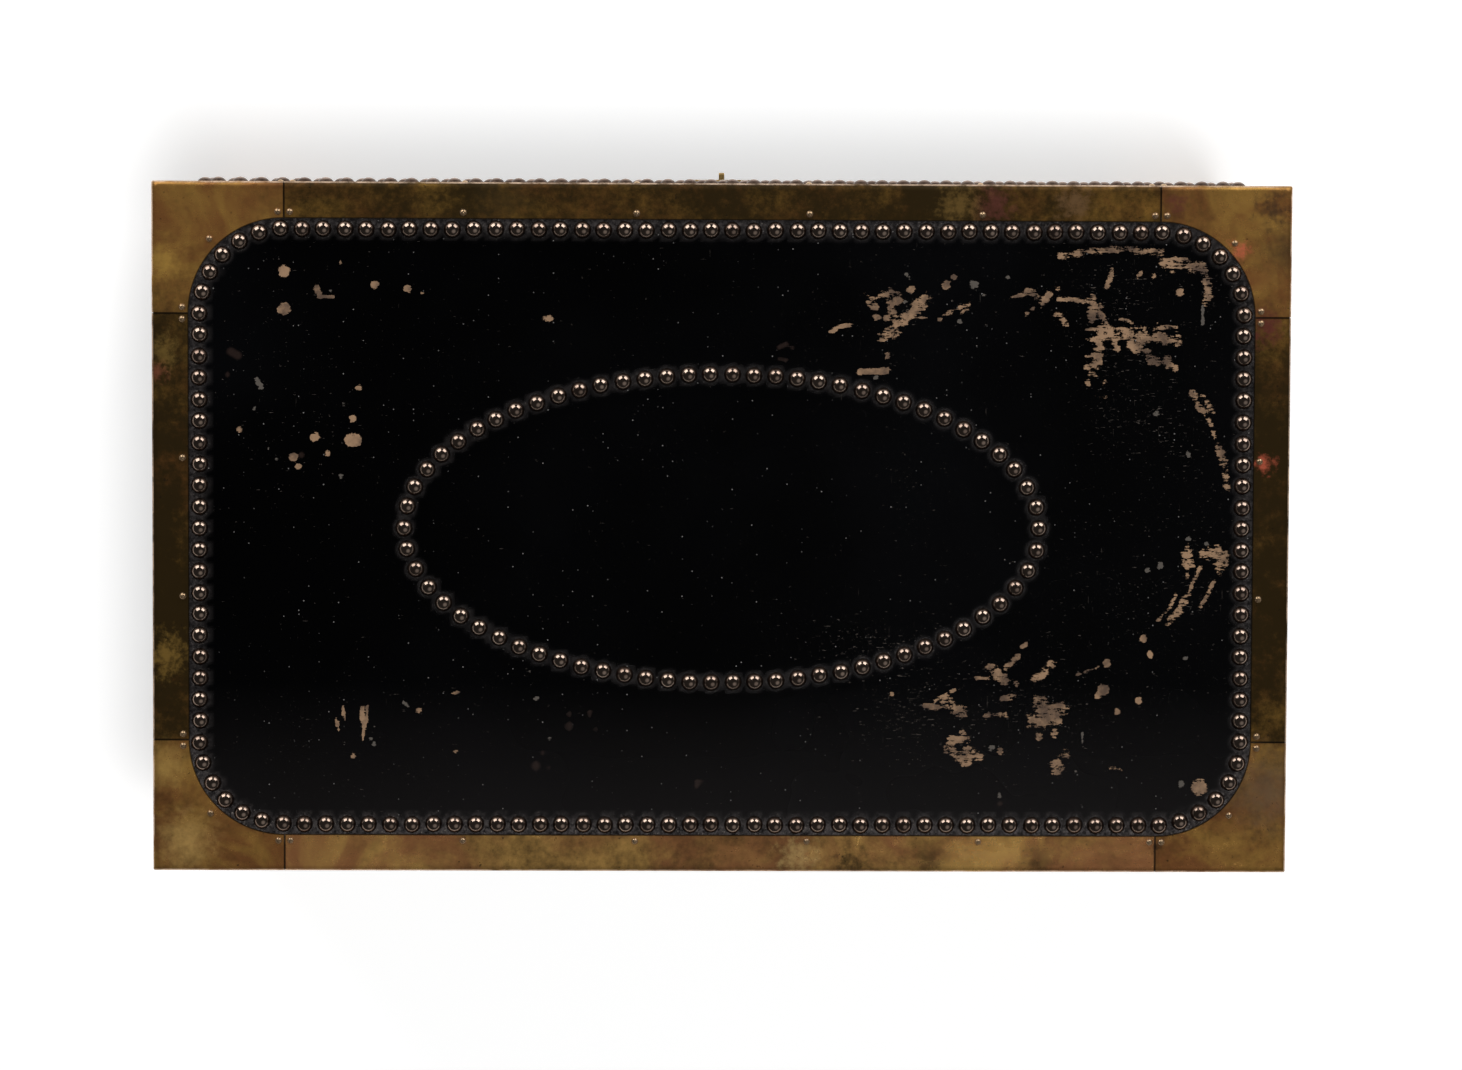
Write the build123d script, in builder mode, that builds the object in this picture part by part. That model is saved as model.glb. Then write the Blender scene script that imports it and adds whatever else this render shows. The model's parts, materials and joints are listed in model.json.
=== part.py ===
from build123d import *
from math import ceil, cos, radians, sin, tan
import os

# Campaign trunk: a dovetailed camphor wood box with a hinged lid, covered in black painted
# hide, bound along every edge in sheet brass and studded with rows of domed brass nails.
# Millimetres. The origin is the middle of the underside, +Z is up and the front faces -Y.
# Left and right are those of someone who stands in front of the trunk.

# Overall size, over the brass
trunk_width = 762.0
trunk_depth = 462.0
trunk_height = 345.0
lid_height = 83.6
lid_gap = 0.4

# Thicknesses
side_board = 14.0
lid_board = 12.0
bottom_board_thickness = 14.0
hide = 1.6
brass = 0.9

# Brass bindings
binding_leg = 24.5
rim_flange = 9.0
corner_reach = 88.0
lid_side_straight = 8.6
edge_round = 1.3
seam_gap = 0.4

# Dovetails
case_tails = 5
lid_tails = 2
tail_share = 0.56
tail_flare = 2.4

# Domed nails
nail_radius = 6.0
nail_dome = 4.9
nail_shank_radius = 0.9
nail_length = 11.0
nail_point = 2.0
nail_pitch = 14.4
nail_inset = 7.0
oval_half_length = 213.0
oval_half_width = 103.5
oval_pitch = 14.6

# Small round headed pins that hold the brass
pin_radius = 2.4
pin_dome = 1.7
pin_shank_radius = 0.7
pin_length = 12.0
pin_inset = 4.2
arc_pin_inset = 6.5
pin_pitch = 120.0
pin_pair = 4.0

# Hinges, on the back
hinge_spread = 440.0
hinge_width = 76.0
leaf_height = 23.0
leaf = 1.8
hinge_knuckle = 3.8
hinge_pin_radius = 2.0
hinge_knuckles = 5
knuckle_gap = 0.3
pin_clearance = 0.05
hinge_head_overhang = 1.1
hinge_head = 1.2
lid_open_angle = 100.0
lug_width = 5.0
lug_reach = 8.0
lug_land = 3.5
lug_drop = 15.0
lug_tip = 3.0
lug_clearance = 0.15
standoff = 0.3

# Countersunk screws
screw_head_radius = 3.4
screw_radius = 1.6
screw_angle = 90.0
screw_length = 13.0
screw_slot = 0.9
screw_slot_depth = 0.5
hinge_screws = 4
hinge_screw_spacing = 15.5

# Hasp, on the front
hasp_plate_width = 46.0
hasp_plate_height = 23.0
hasp_knuckle = 2.4
hasp_pin_radius = 1.2
hasp_axis_height = 5.0
strap_width = 26.0
strap = 2.0
strap_length = 68.0
strap_lip = 3.2
strap_lip_height = 3.0
slot_width = 6.6
slot_height = 24.0
slot_drop = 47.0
hasp_screws = 3
hasp_screw_spacing = 16.0

# Staple, on the case under the hasp
staple_plate = 1.8
staple_plate_width = 46.0
staple_plate_height = 42.0
staple_thickness = 3.8
staple_height = 18.0
staple_eye_radius = 2.8
staple_wall = 2.0
staple_tang_height = 8.0
staple_tang_length = 12.0
staple_strap_gap = 0.4
staple_screw_inset = 5.5

# Carrying handles, on the ends
handle_height = 150.0
handle_plate = 2.2
handle_plate_width = 150.0
handle_plate_height = 34.0
handle_plate_corner = 12.0
boss_spread = 108.0
boss_width = 9.0
boss_radius = 6.2
bail_standoff = 8.5
trunnion_radius = 3.2
trunnion_end = 1.4
bail_rod = 4.0
bail_drop = 44.0
bail_bend = 13.0
grip_radius = 5.8
grip_length = 58.0
bail_side_gap = 0.6
bail_knuckle = 5.4
bail_arm_width = 8.0
grip_round = 1.4
heel_lead = 1.0
heel_trail = 4.0
heel_clearance = 0.1
handle_screw_spread = 134.0
handle_screw_rise = 20.0
round_head_radius = 3.6
round_head = 2.4
handle_screw_length = 14.0

# Places that follow from the sizes above
half_width = trunk_width / 2
half_depth = trunk_depth / 2
lid_bottom = trunk_height - lid_height
case_height = lid_bottom - lid_gap
seam = case_height + lid_gap / 2
hide_width = half_width - brass
hide_depth = half_depth - brass
wood_width = hide_width - hide
wood_depth = hide_depth - hide
wood_top = trunk_height - brass - hide
rail_low = lid_bottom + brass
rail_high = wood_top - lid_board
case_wood_top = case_height - brass
top_panel_radius = corner_reach - binding_leg
panel_half_width = half_width - binding_leg
panel_half_depth = half_depth - binding_leg
case_panel_low = binding_leg
case_panel_high = case_height - binding_leg
lid_panel_low = lid_bottom + binding_leg
lid_panel_high = trunk_height - binding_leg
lid_side_radius = (lid_panel_high - lid_panel_low - lid_side_straight) / 2
case_panel_middle = (case_panel_low + case_panel_high) / 2
lid_panel_middle = (lid_panel_low + lid_panel_high) / 2

# The hide's outer face on each side, with local X along the face and local Y up or towards the back
front_face = Plane(origin=(0, -hide_depth, 0), x_dir=(1, 0, 0), z_dir=(0, -1, 0))
back_face = Plane(origin=(0, hide_depth, 0), x_dir=(-1, 0, 0), z_dir=(0, 1, 0))
right_face = Plane(origin=(hide_width, 0, 0), x_dir=(0, 1, 0), z_dir=(1, 0, 0))
left_face = Plane(origin=(-hide_width, 0, 0), x_dir=(0, -1, 0), z_dir=(-1, 0, 0))
top_face = Plane.XY.offset(trunk_height - brass)
long_faces = (front_face, back_face)
end_faces = (left_face, right_face)

os.makedirs("parts", exist_ok=True)


def finish(piece, label):
    """Labels a finished piece and writes it to its own STEP file."""
    piece.part.label = label
    export_step(piece.part, f"parts/{label}.step")


def span(low, high):
    """The middle and the length of a stretch, for placing a box between two limits."""
    return (low + high) / 2, high - low


def block(x, y, z, mode=Mode.ADD):
    """A box between three pairs of limits, in the current builder."""
    (middle_x, size_x), (middle_y, size_y), (middle_z, size_z) = span(*x), span(*y), span(*z)
    with Locations((middle_x, middle_y, middle_z)):
        Box(size_x, size_y, size_z, mode=mode)


# Woodwork


def dovetailed_frame(label, names, low, high, tails):
    """Four boards on edge: the two end boards carry tails that fill sockets in the long boards."""
    pitch = (high - low) / tails
    narrow = pitch * tail_share / 2
    baseline = wood_depth - side_board
    with BuildPart() as right_tails:
        with BuildSketch(Plane.YZ.offset(wood_width - side_board)):
            with Locations(*[(0, low + (i + 0.5) * pitch) for i in range(tails)]):
                Polygon(
                    (baseline, -narrow),
                    (wood_depth, -narrow - tail_flare),
                    (wood_depth, narrow + tail_flare),
                    (baseline, narrow),
                    align=None,
                )
            mirror(about=Plane.YZ)
        extrude(amount=side_board)
    with BuildPart() as right_board:
        block((wood_width - side_board, wood_width), (-baseline, baseline), (low, high))
        add(right_tails.part)
    with BuildPart() as left_board:
        mirror(right_board.part, about=Plane.YZ)
    with BuildPart() as front_board:
        block((-wood_width, wood_width), (-wood_depth, -baseline), (low, high))
        add(right_tails.part, mode=Mode.SUBTRACT)
        mirror(right_tails.part, about=Plane.YZ, mode=Mode.SUBTRACT)
    with BuildPart() as back_board:
        mirror(front_board.part, about=Plane.XZ)
    for piece, name in zip((front_board, back_board, left_board, right_board), names):
        finish(piece, f"{label}_{name}")


dovetailed_frame(
    "case",
    ("front_board", "back_board", "left_board", "right_board"),
    bottom_board_thickness,
    case_wood_top,
    case_tails,
)
dovetailed_frame(
    "lid",
    ("front_rail", "back_rail", "left_rail", "right_rail"),
    rail_low,
    rail_high,
    lid_tails,
)

# The bottom board is rebated all round, so that the brass under it lies flush
with BuildPart() as bottom_board:
    block((-wood_width, wood_width), (-wood_depth, wood_depth), (brass, bottom_board_thickness))
    with BuildSketch(Plane.XY):
        RectangleRounded(2 * panel_half_width, 2 * panel_half_depth, top_panel_radius)
    extrude(amount=brass)
finish(bottom_board, "bottom_board")

with BuildPart() as lid_top_board:
    block((-wood_width, wood_width), (-wood_depth, wood_depth), (rail_high, wood_top))
finish(lid_top_board, "lid_top_board")

# Hide


def hide_band(low, high):
    """A band of hide wrapped round the four sides."""
    with BuildPart() as band:
        with BuildSketch(Plane.XY.offset(low)):
            Rectangle(2 * hide_width, 2 * hide_depth)
            Rectangle(2 * wood_width, 2 * wood_depth, mode=Mode.SUBTRACT)
        extrude(amount=high - low)
    return band


finish(hide_band(brass, case_wood_top), "case_side_hide")
finish(hide_band(rail_low, wood_top), "lid_side_hide")

with BuildPart() as lid_top_hide:
    block((-hide_width, hide_width), (-hide_depth, hide_depth), (wood_top, wood_top + hide))
finish(lid_top_hide, "lid_top_hide")

# Brass bindings, cut as pieces from one folded shell so that they meet along straight seams


def open_sides(low, high, radius):
    """Cuts the round cornered windows that show the hide through all four sides of a shell."""
    middle, height = span(low, high)
    with BuildSketch(Plane.XZ) as long_window:
        with Locations((0, middle)):
            RectangleRounded(2 * panel_half_width, height, radius)
    extrude(long_window.sketch, amount=trunk_depth, both=True, mode=Mode.SUBTRACT)
    with BuildSketch(Plane.YZ) as end_window:
        with Locations((0, middle)):
            RectangleRounded(2 * panel_half_depth, height, radius)
    extrude(end_window.sketch, amount=trunk_width, both=True, mode=Mode.SUBTRACT)


def binding_shell(low, high, closed_high, panel_low, panel_high, side_radius):
    """Sheet brass over a box with one open rim. closed_high tells which end is closed."""
    closed, rim = (high, low) if closed_high else (low, high)
    inward = 1 if rim < closed else -1
    with BuildPart() as shell:
        block((-half_width, half_width), (-half_depth, half_depth), (low, high))
        fillet(shell.edges(), edge_round)
        block(
            (-hide_width, hide_width),
            (-hide_depth, hide_depth),
            (low + brass, high - brass),
            Mode.SUBTRACT,
        )
        block(
            (-half_width + rim_flange, half_width - rim_flange),
            (-half_depth + rim_flange, half_depth - rim_flange),
            sorted((rim, rim + inward * 2 * brass)),
            Mode.SUBTRACT,
        )
        open_sides(panel_low, panel_high, side_radius)
        with BuildSketch(Plane.XY.offset(closed)):
            RectangleRounded(2 * panel_half_width, 2 * panel_half_depth, top_panel_radius)
        extrude(amount=2 * brass, both=True, mode=Mode.SUBTRACT)
    return shell


def binding(shell, label, x, y, z):
    """One brass piece: what the shell has between three pairs of limits."""
    with BuildPart() as piece:
        add(shell.part)
        block(x, y, z, Mode.INTERSECT)
    finish(piece, label)


seam_x = half_width - corner_reach
seam_y = half_depth - corner_reach
between_x = (-seam_x + seam_gap / 2, seam_x - seam_gap / 2)
between_y = (-seam_y + seam_gap / 2, seam_y - seam_gap / 2)
beyond_x = {"left": (-half_width, -seam_x - seam_gap / 2), "right": (seam_x + seam_gap / 2, half_width)}
beyond_y = {"front": (-half_depth, -seam_y - seam_gap / 2), "back": (seam_y + seam_gap / 2, half_depth)}
strip_sides = {
    "front": (between_x, beyond_y["front"]),
    "back": (between_x, beyond_y["back"]),
    "left": (beyond_x["left"], between_y),
    "right": (beyond_x["right"], between_y),
}
corners = [(deep, wide) for deep in ("front", "back") for wide in ("left", "right")]

lid_shell = binding_shell(
    lid_bottom, trunk_height, True, lid_panel_low, lid_panel_high, lid_side_radius
)
case_shell = binding_shell(
    0, case_height, False, case_panel_low, case_panel_high, top_panel_radius
)

low_corner_top = corner_reach - seam_gap / 2
high_corner_bottom = case_height - corner_reach + seam_gap / 2
for deep, wide in corners:
    place = (beyond_x[wide], beyond_y[deep])
    binding(lid_shell, f"lid_corner_cap_{deep}_{wide}", *place, (lid_bottom, trunk_height))
    binding(case_shell, f"case_bottom_cap_{deep}_{wide}", *place, (0, low_corner_top))
    binding(case_shell, f"case_top_corner_{deep}_{wide}", *place, (high_corner_bottom, case_height))
for side, place in strip_sides.items():
    binding(lid_shell, f"lid_top_edge_{side}", *place, (lid_panel_middle, trunk_height))
    binding(case_shell, f"case_bottom_edge_{side}", *place, (0, case_panel_middle))


def binding_group(shell, label, places):
    """Several like brass pieces in one node, as separate solids."""
    pieces = []
    for x, y, z in places:
        with BuildPart() as piece:
            add(shell.part)
            block(x, y, z, Mode.INTERSECT)
        pieces += piece.solids()
    with BuildPart() as group:
        add(pieces)
    finish(group, label)


binding_group(
    lid_shell,
    "lid_rim_strips",
    [(x, y, (lid_bottom, lid_panel_middle)) for x, y in strip_sides.values()],
)
binding_group(
    case_shell,
    "case_rim_strips",
    [(x, y, (case_panel_middle, case_height)) for x, y in strip_sides.values()],
)
binding_group(
    case_shell,
    "case_corner_angles",
    [
        (beyond_x[wide], beyond_y[deep], (low_corner_top + seam_gap, high_corner_bottom - seam_gap))
        for deep, wide in corners
    ],
)

# Nails and pins. Each is made once, head up, with its head's underside at its origin.


def headed(head_radius, head_height, shank_radius, length, point):
    """A domed head on a round pointed shank, as a revolved outline."""
    with BuildPart() as fastener:
        with BuildSketch(Plane.XZ):
            with BuildLine():
                Line((0, head_height), (0, -length))
                Line((0, -length), (shank_radius, -length + point))
                Line((shank_radius, -length + point), (shank_radius, 0))
                Line((shank_radius, 0), (head_radius, 0))
                bulge = (head_radius**2 + head_height**2) / (2 * head_height)
                turn = radians(45)
                ThreePointArc(
                    (head_radius, 0),
                    (bulge * sin(turn), head_height - bulge + bulge * cos(turn)),
                    (0, head_height),
                )
            make_face()
        revolve(axis=Axis.Z)
    return fastener.part


def set_out(fastener, label, places):
    """Copies of one fastener at many places, in one node of separate solids."""
    with BuildPart() as group:
        with Locations(*places):
            add(fastener, clean=False)
    finish(group, label)


def along(face, outline, pitch, keep=lambda point: True):
    """Places on a face at an even pitch round a closed outline, but for those that keep refuses."""
    count = round(outline.length / pitch)
    points = [outline.position_at(i / count) for i in range(count)]
    return [face.location * Location((p.X, p.Y, 0)) for p in points if keep(p)]


def ring(half_u, low, high, radius):
    """The closed line of nails inside a panel, nail_inset in from the brass."""
    middle, height = span(low, high)
    with BuildSketch() as outline:
        with Locations((0, middle)):
            RectangleRounded(
                2 * (half_u - nail_inset), height - 2 * nail_inset, radius - nail_inset
            )
    return outline.wire()


nail = headed(nail_radius, nail_dome, nail_shank_radius, nail_length, nail_point)
pin = headed(pin_radius, pin_dome, pin_shank_radius, pin_length, pin_radius)

top_ring = ring(panel_half_width, -panel_half_depth, panel_half_depth, top_panel_radius)
set_out(nail, "lid_border_nails", along(top_face, top_ring, nail_pitch))

with BuildSketch() as oval:
    Ellipse(oval_half_length, oval_half_width)
set_out(nail, "lid_oval_nails", along(top_face, oval.wire(), oval_pitch))

lid_side_places = []
case_side_places = []
staple_plate_top = case_panel_high
plate_clear = staple_plate_width / 2 + nail_radius + standoff


def clear_of_staple_plate(point):
    """True where a nail in the front of the case misses the staple plate."""
    return abs(point.X) > plate_clear or point.Y < staple_plate_top - staple_plate_height


for faces, half_u in ((long_faces, panel_half_width), (end_faces, panel_half_depth)):
    lid_ring = ring(half_u, lid_panel_low, lid_panel_high, lid_side_radius)
    case_ring = ring(half_u, case_panel_low, case_panel_high, top_panel_radius)
    for face in faces:
        keep = clear_of_staple_plate if face is front_face else lambda point: True
        lid_side_places += along(face, lid_ring, nail_pitch)
        case_side_places += along(face, case_ring, nail_pitch, keep)
set_out(nail, "lid_side_nails", lid_side_places)
set_out(nail, "case_nails", case_side_places)


def strip_points(half_u, seam_u):
    """Pin positions along one strip: a pair astride each seam and an even row between them."""
    row_end = seam_u - pin_pair
    gaps = ceil(2 * row_end / pin_pitch)
    row = [-row_end + 2 * row_end * i / gaps for i in range(gaps + 1)]
    return [-seam_u - pin_pair, *row, seam_u + pin_pair]


def arc_points(half_u, middle, half_v, radius):
    """One pin outside the middle of each round inner corner of a panel."""
    reach = (radius + arc_pin_inset) * sin(radians(45)) - radius
    return [
        (i * (half_u + reach), middle + j * (half_v + reach)) for i in (-1, 1) for j in (-1, 1)
    ]


def pin_places(face, points):
    """Pin heads sit on the brass, its thickness out from the hide."""
    return [face.offset(brass).location * Location((u, v, 0)) for u, v in points]


top_points = arc_points(panel_half_width, 0, panel_half_depth, top_panel_radius)
for side in (-1, 1):
    top_points += [
        (u, side * (panel_half_depth + pin_inset)) for u in strip_points(panel_half_width, seam_x)
    ]
    top_points += [
        (side * (panel_half_width + pin_inset), v) for v in strip_points(panel_half_depth, seam_y)
    ]
lid_pin_places = pin_places(top_face, top_points)
case_pin_places = []
case_seam = case_panel_middle - corner_reach
hasp_clear = hasp_plate_width / 2 + pin_radius
hinge_clear = hinge_width / 2 + pin_radius


def clear_of_fittings(face, u):
    """True where a pin beside the rim misses the hasp plate or a hinge leaf."""
    if face is front_face:
        return abs(u) > hasp_clear
    return face is not back_face or abs(abs(u) - hinge_spread / 2) > hinge_clear


for faces, half_u, seam_u in (
    (long_faces, panel_half_width, seam_x),
    (end_faces, panel_half_depth, seam_y),
):
    row = strip_points(half_u, seam_u)
    half_v = (case_panel_high - case_panel_low) / 2
    arcs = arc_points(half_u, case_panel_middle, half_v, top_panel_radius)
    uprights = [
        (side * (half_u + pin_inset), case_panel_middle + v)
        for side in (-1, 1)
        for v in (-case_seam - pin_pair, -case_seam + pin_pair, case_seam - pin_pair, case_seam + pin_pair)
    ]
    for face in faces:
        rim_row = [u for u in row if clear_of_fittings(face, u)]
        lid_points = [(u, lid_panel_high + pin_inset) for u in row]
        lid_points += [(u, lid_panel_low - pin_inset) for u in rim_row]
        case_points = [(u, case_panel_low - pin_inset) for u in row]
        case_points += [(u, case_panel_high + pin_inset) for u in rim_row]
        lid_pin_places += pin_places(face, lid_points)
        case_pin_places += pin_places(face, case_points + arcs + uprights)
set_out(pin, "lid_pins", lid_pin_places)
set_out(pin, "case_pins", case_pin_places)

# Screws

screw_head = (screw_head_radius - screw_radius) / tan(radians(screw_angle / 2))


def slotted(blank, radius, top):
    """Cuts the driver's slot across a screw's head."""
    with BuildPart() as screw:
        add(blank)
        block(
            (-radius, radius),
            (-screw_slot / 2, screw_slot / 2),
            (top - screw_slot_depth, top + screw_slot_depth),
            Mode.SUBTRACT,
        )
    return screw.part


with BuildPart() as flat_screw_blank:
    with BuildSketch(Plane.XZ):
        Polygon(
            (0, 0),
            (0, -screw_length),
            (screw_radius, -screw_length + screw_radius),
            (screw_radius, -screw_head),
            (screw_head_radius, 0),
            align=None,
        )
    revolve(axis=Axis.Z)
flat_screw = slotted(flat_screw_blank.part, screw_head_radius, 0)
round_screw_blank = headed(
    round_head_radius, round_head, screw_radius, handle_screw_length, screw_radius
)
round_screw = slotted(round_screw_blank, round_head_radius, round_head)
case_screw_places = []
lid_screw_places = []


def sink_screws(places):
    """Countersinks the piece in hand for flat screws at these places, head outwards."""
    with Locations(*places):
        CounterSinkHole(screw_radius, screw_head_radius, counter_sink_angle=screw_angle)


def row_of(count, spacing):
    """Offsets of a centred even row."""
    return [spacing * (i - (count - 1) / 2) for i in range(count)]


def rod_along_x(x, y, z, radius, mode=Mode.ADD):
    """A round bar between two limits along X."""
    with BuildSketch(Plane.YZ.offset(x[0])) as end:
        with Locations((y, z)):
            Circle(radius)
    extrude(end.sketch, amount=x[1] - x[0], mode=mode)


def rod_along_y(x, y, z, radius, mode=Mode.ADD):
    """A round bar between two limits along Y."""
    with BuildSketch(Plane.XZ.offset(-y[1])) as end:
        with Locations((x, z)):
            Circle(radius)
    extrude(end.sketch, amount=y[1] - y[0], mode=mode)


def headed_pin(label, ends, y, z, radius):
    """A hinge pin along X with a flat head outside each end of its barrel."""
    with BuildPart() as hinge_pin:
        for low, high in ends:
            rod_along_x((low, high), y, z, radius)
            rod_along_x((low - hinge_head, low), y, z, radius + hinge_head_overhang)
            rod_along_x((high, high + hinge_head), y, z, radius + hinge_head_overhang)
    finish(hinge_pin, label)


# Hinges, whose case leaves carry two lugs each that the lid's leaf meets when it is fully open

hinge_axis_y = half_depth + hinge_knuckle
hinge_barrel = hinge_width - 2 * (lug_width + hinge_head + knuckle_gap)
leaf_skin = (half_depth, half_depth + leaf)
open_angle = radians(lid_open_angle)


def on_open_leaf(reach):
    """A point just under the outer face of the open lid leaf, this far along it from the axis."""
    out = leaf - hinge_knuckle + lug_clearance
    return (
        hinge_axis_y + out * cos(open_angle) + reach * sin(open_angle),
        seam - out * sin(open_angle) + reach * cos(open_angle),
    )


def stop_lug(x):
    """A gusset on the case leaf, with a sloping land for the open lid leaf."""
    tip_y, tip_z = on_open_leaf(lug_reach)
    with BuildSketch(Plane.YZ.offset(x[0])) as side:
        Polygon(
            (half_depth, case_height),
            on_open_leaf(lug_reach - lug_land),
            (tip_y, tip_z),
            (tip_y, tip_z - lug_tip),
            (half_depth + leaf, seam - lug_drop),
            (half_depth, seam - lug_drop),
            align=None,
        )
    extrude(side.sketch, amount=x[1] - x[0])


def hinge_leaf(label, centre, up, first_knuckle, screw_places):
    """One leaf: a plate on the brass, its share of the knuckles, and the lugs if it is the case's."""
    near = seam + up * (hinge_knuckle + knuckle_gap)
    far = seam + up * leaf_height
    edges = (centre - hinge_width / 2, centre + hinge_width / 2)
    barrel = (centre - hinge_barrel / 2, centre + hinge_barrel / 2)
    step = hinge_barrel / hinge_knuckles
    outside = back_face.offset(brass + leaf).location
    places = [
        outside * Location((-centre + u, (near + far) / 2, 0))
        for u in row_of(hinge_screws, hinge_screw_spacing)
    ]
    with BuildPart() as piece:
        block(edges, leaf_skin, sorted((near, far)))
        for i in range(first_knuckle, hinge_knuckles, 2):
            start = barrel[0] + i * step
            knuckle = (start + knuckle_gap / 2, start + step - knuckle_gap / 2)
            block(knuckle, leaf_skin, sorted((seam, far)))
            rod_along_x(knuckle, hinge_axis_y, seam, hinge_knuckle)
        bore = hinge_pin_radius + pin_clearance
        rod_along_x(barrel, hinge_axis_y, seam, bore, Mode.SUBTRACT)
        if up < 0:
            stop_lug((edges[0], edges[0] + lug_width))
            stop_lug((edges[1] - lug_width, edges[1]))
        sink_screws(places)
    screw_places += places
    finish(piece, label)


hinge_centres = {"left": -hinge_spread / 2, "right": hinge_spread / 2}
for side, centre in hinge_centres.items():
    hinge_leaf(f"{side}_hinge_case_leaf", centre, -1, 0, case_screw_places)
    hinge_leaf(f"{side}_hinge_lid_leaf", centre, 1, 1, lid_screw_places)
barrels = [(c - hinge_barrel / 2, c + hinge_barrel / 2) for c in hinge_centres.values()]
headed_pin("hinge_pins", barrels, hinge_axis_y, seam, hinge_pin_radius)

# Hasp: a plate on the lid's rim and a slotted strap that drops over the staple

hasp_axis_y = -half_depth - hasp_knuckle
hasp_axis_z = seam + hasp_axis_height
hasp_plate_top = seam + hasp_plate_height
hasp_edge = hasp_plate_width / 2
hasp_plate_low = hasp_axis_z + hasp_knuckle + knuckle_gap
strap_edge = strap_width / 2
hasp_skin = (-half_depth - leaf, -half_depth)
hasp_bore = hasp_pin_radius + pin_clearance
hasp_plate_middle = (hasp_plate_low + hasp_plate_top) / 2
hasp_outside = front_face.offset(brass + leaf).location
hasp_screw_places = [
    hasp_outside * Location((u, hasp_plate_middle, 0)) for u in row_of(hasp_screws, hasp_screw_spacing)
]
with BuildPart() as hasp_plate:
    block((-hasp_edge, hasp_edge), hasp_skin, (hasp_plate_low, hasp_plate_top))
    for knuckle in ((-hasp_edge, -strap_edge - knuckle_gap), (strap_edge + knuckle_gap, hasp_edge)):
        block(knuckle, hasp_skin, (hasp_axis_z, hasp_plate_top))
        rod_along_x(knuckle, hasp_axis_y, hasp_axis_z, hasp_knuckle)
    rod_along_x((-hasp_edge, hasp_edge), hasp_axis_y, hasp_axis_z, hasp_bore, Mode.SUBTRACT)
    sink_screws(hasp_screw_places)
lid_screw_places += hasp_screw_places
finish(hasp_plate, "hasp_plate")
headed_pin("hasp_pin", [(-hasp_edge, hasp_edge)], hasp_axis_y, hasp_axis_z, hasp_pin_radius)

staple_plate_face = -hide_depth - staple_plate
strap_back = -staple_plate_face + staple_strap_gap
strap_front = strap_back + strap
strap_end = hasp_axis_z - strap_length
strap_tip = (0, strap_end + strap_edge)
staple_z = hasp_axis_z - slot_drop
with BuildPart() as hasp:
    with BuildSketch(Plane.XZ.offset(strap_back)):
        with Locations((0, (hasp_axis_z + strap_tip[1]) / 2)):
            Rectangle(strap_width, hasp_axis_z - strap_tip[1])
        with Locations(strap_tip):
            Circle(strap_edge)
    extrude(amount=strap)
    with BuildSketch(Plane.XZ.offset(strap_front)):
        with Locations(strap_tip):
            Circle(strap_edge)
        with Locations((0, strap_end)):
            Rectangle(strap_width, 2 * strap_lip_height, mode=Mode.INTERSECT)
    extrude(amount=strap_lip)
    rod_along_x((-strap_edge, strap_edge), hasp_axis_y, hasp_axis_z, hasp_knuckle)
    rod_along_x((-strap_edge, strap_edge), hasp_axis_y, hasp_axis_z, hasp_bore, Mode.SUBTRACT)
    with BuildSketch(Plane.XZ.offset(strap_back)):
        with Locations((0, staple_z)):
            SlotOverall(slot_height, slot_width, rotation=90)
    extrude(amount=strap, mode=Mode.SUBTRACT)
finish(hasp, "hasp")

staple_eye_y = -strap_front - standoff - staple_eye_radius
staple_half = staple_thickness / 2
with BuildPart() as staple:
    with BuildSketch(Plane.YZ.offset(-staple_half)):
        with Locations((staple_plate_face - standoff, staple_z)):
            Rectangle(2 * standoff, staple_height)
        with Locations((staple_eye_y, staple_z)):
            Circle(staple_eye_radius + staple_wall)
        make_hull()
        with Locations((staple_eye_y, staple_z)):
            Circle(staple_eye_radius, mode=Mode.SUBTRACT)
    extrude(amount=staple_thickness)
    tang_x = (-staple_half, staple_half)
    tang_y = (staple_plate_face, staple_plate_face + staple_tang_length)
    tang_z = (staple_z - staple_tang_height / 2, staple_z + staple_tang_height / 2)
    block(tang_x, tang_y, tang_z)
finish(staple, "staple")

staple_screw_x = staple_plate_width / 2 - staple_screw_inset
staple_screw_z = staple_plate_height / 2 - staple_screw_inset
staple_plate_middle = staple_plate_top - staple_plate_height / 2
staple_screw_places = [
    front_face.offset(staple_plate).location
    * Location((i * staple_screw_x, staple_plate_middle + j * staple_screw_z, 0))
    for i in (-1, 1)
    for j in (-1, 1)
]
with BuildPart() as staple_plate_piece:
    block(
        (-staple_plate_width / 2, staple_plate_width / 2),
        (staple_plate_face, -hide_depth),
        (staple_plate_top - staple_plate_height, staple_plate_top),
    )
    block(tang_x, tang_y, tang_z, Mode.SUBTRACT)
    sink_screws(staple_screw_places)
case_screw_places += staple_screw_places
finish(staple_plate_piece, "staple_plate")
set_out(flat_screw, "case_countersunk_screws", case_screw_places)
set_out(flat_screw, "lid_countersunk_screws", lid_screw_places)

# Carrying handles. The right one is drawn and the left one is its mirror image.

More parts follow.
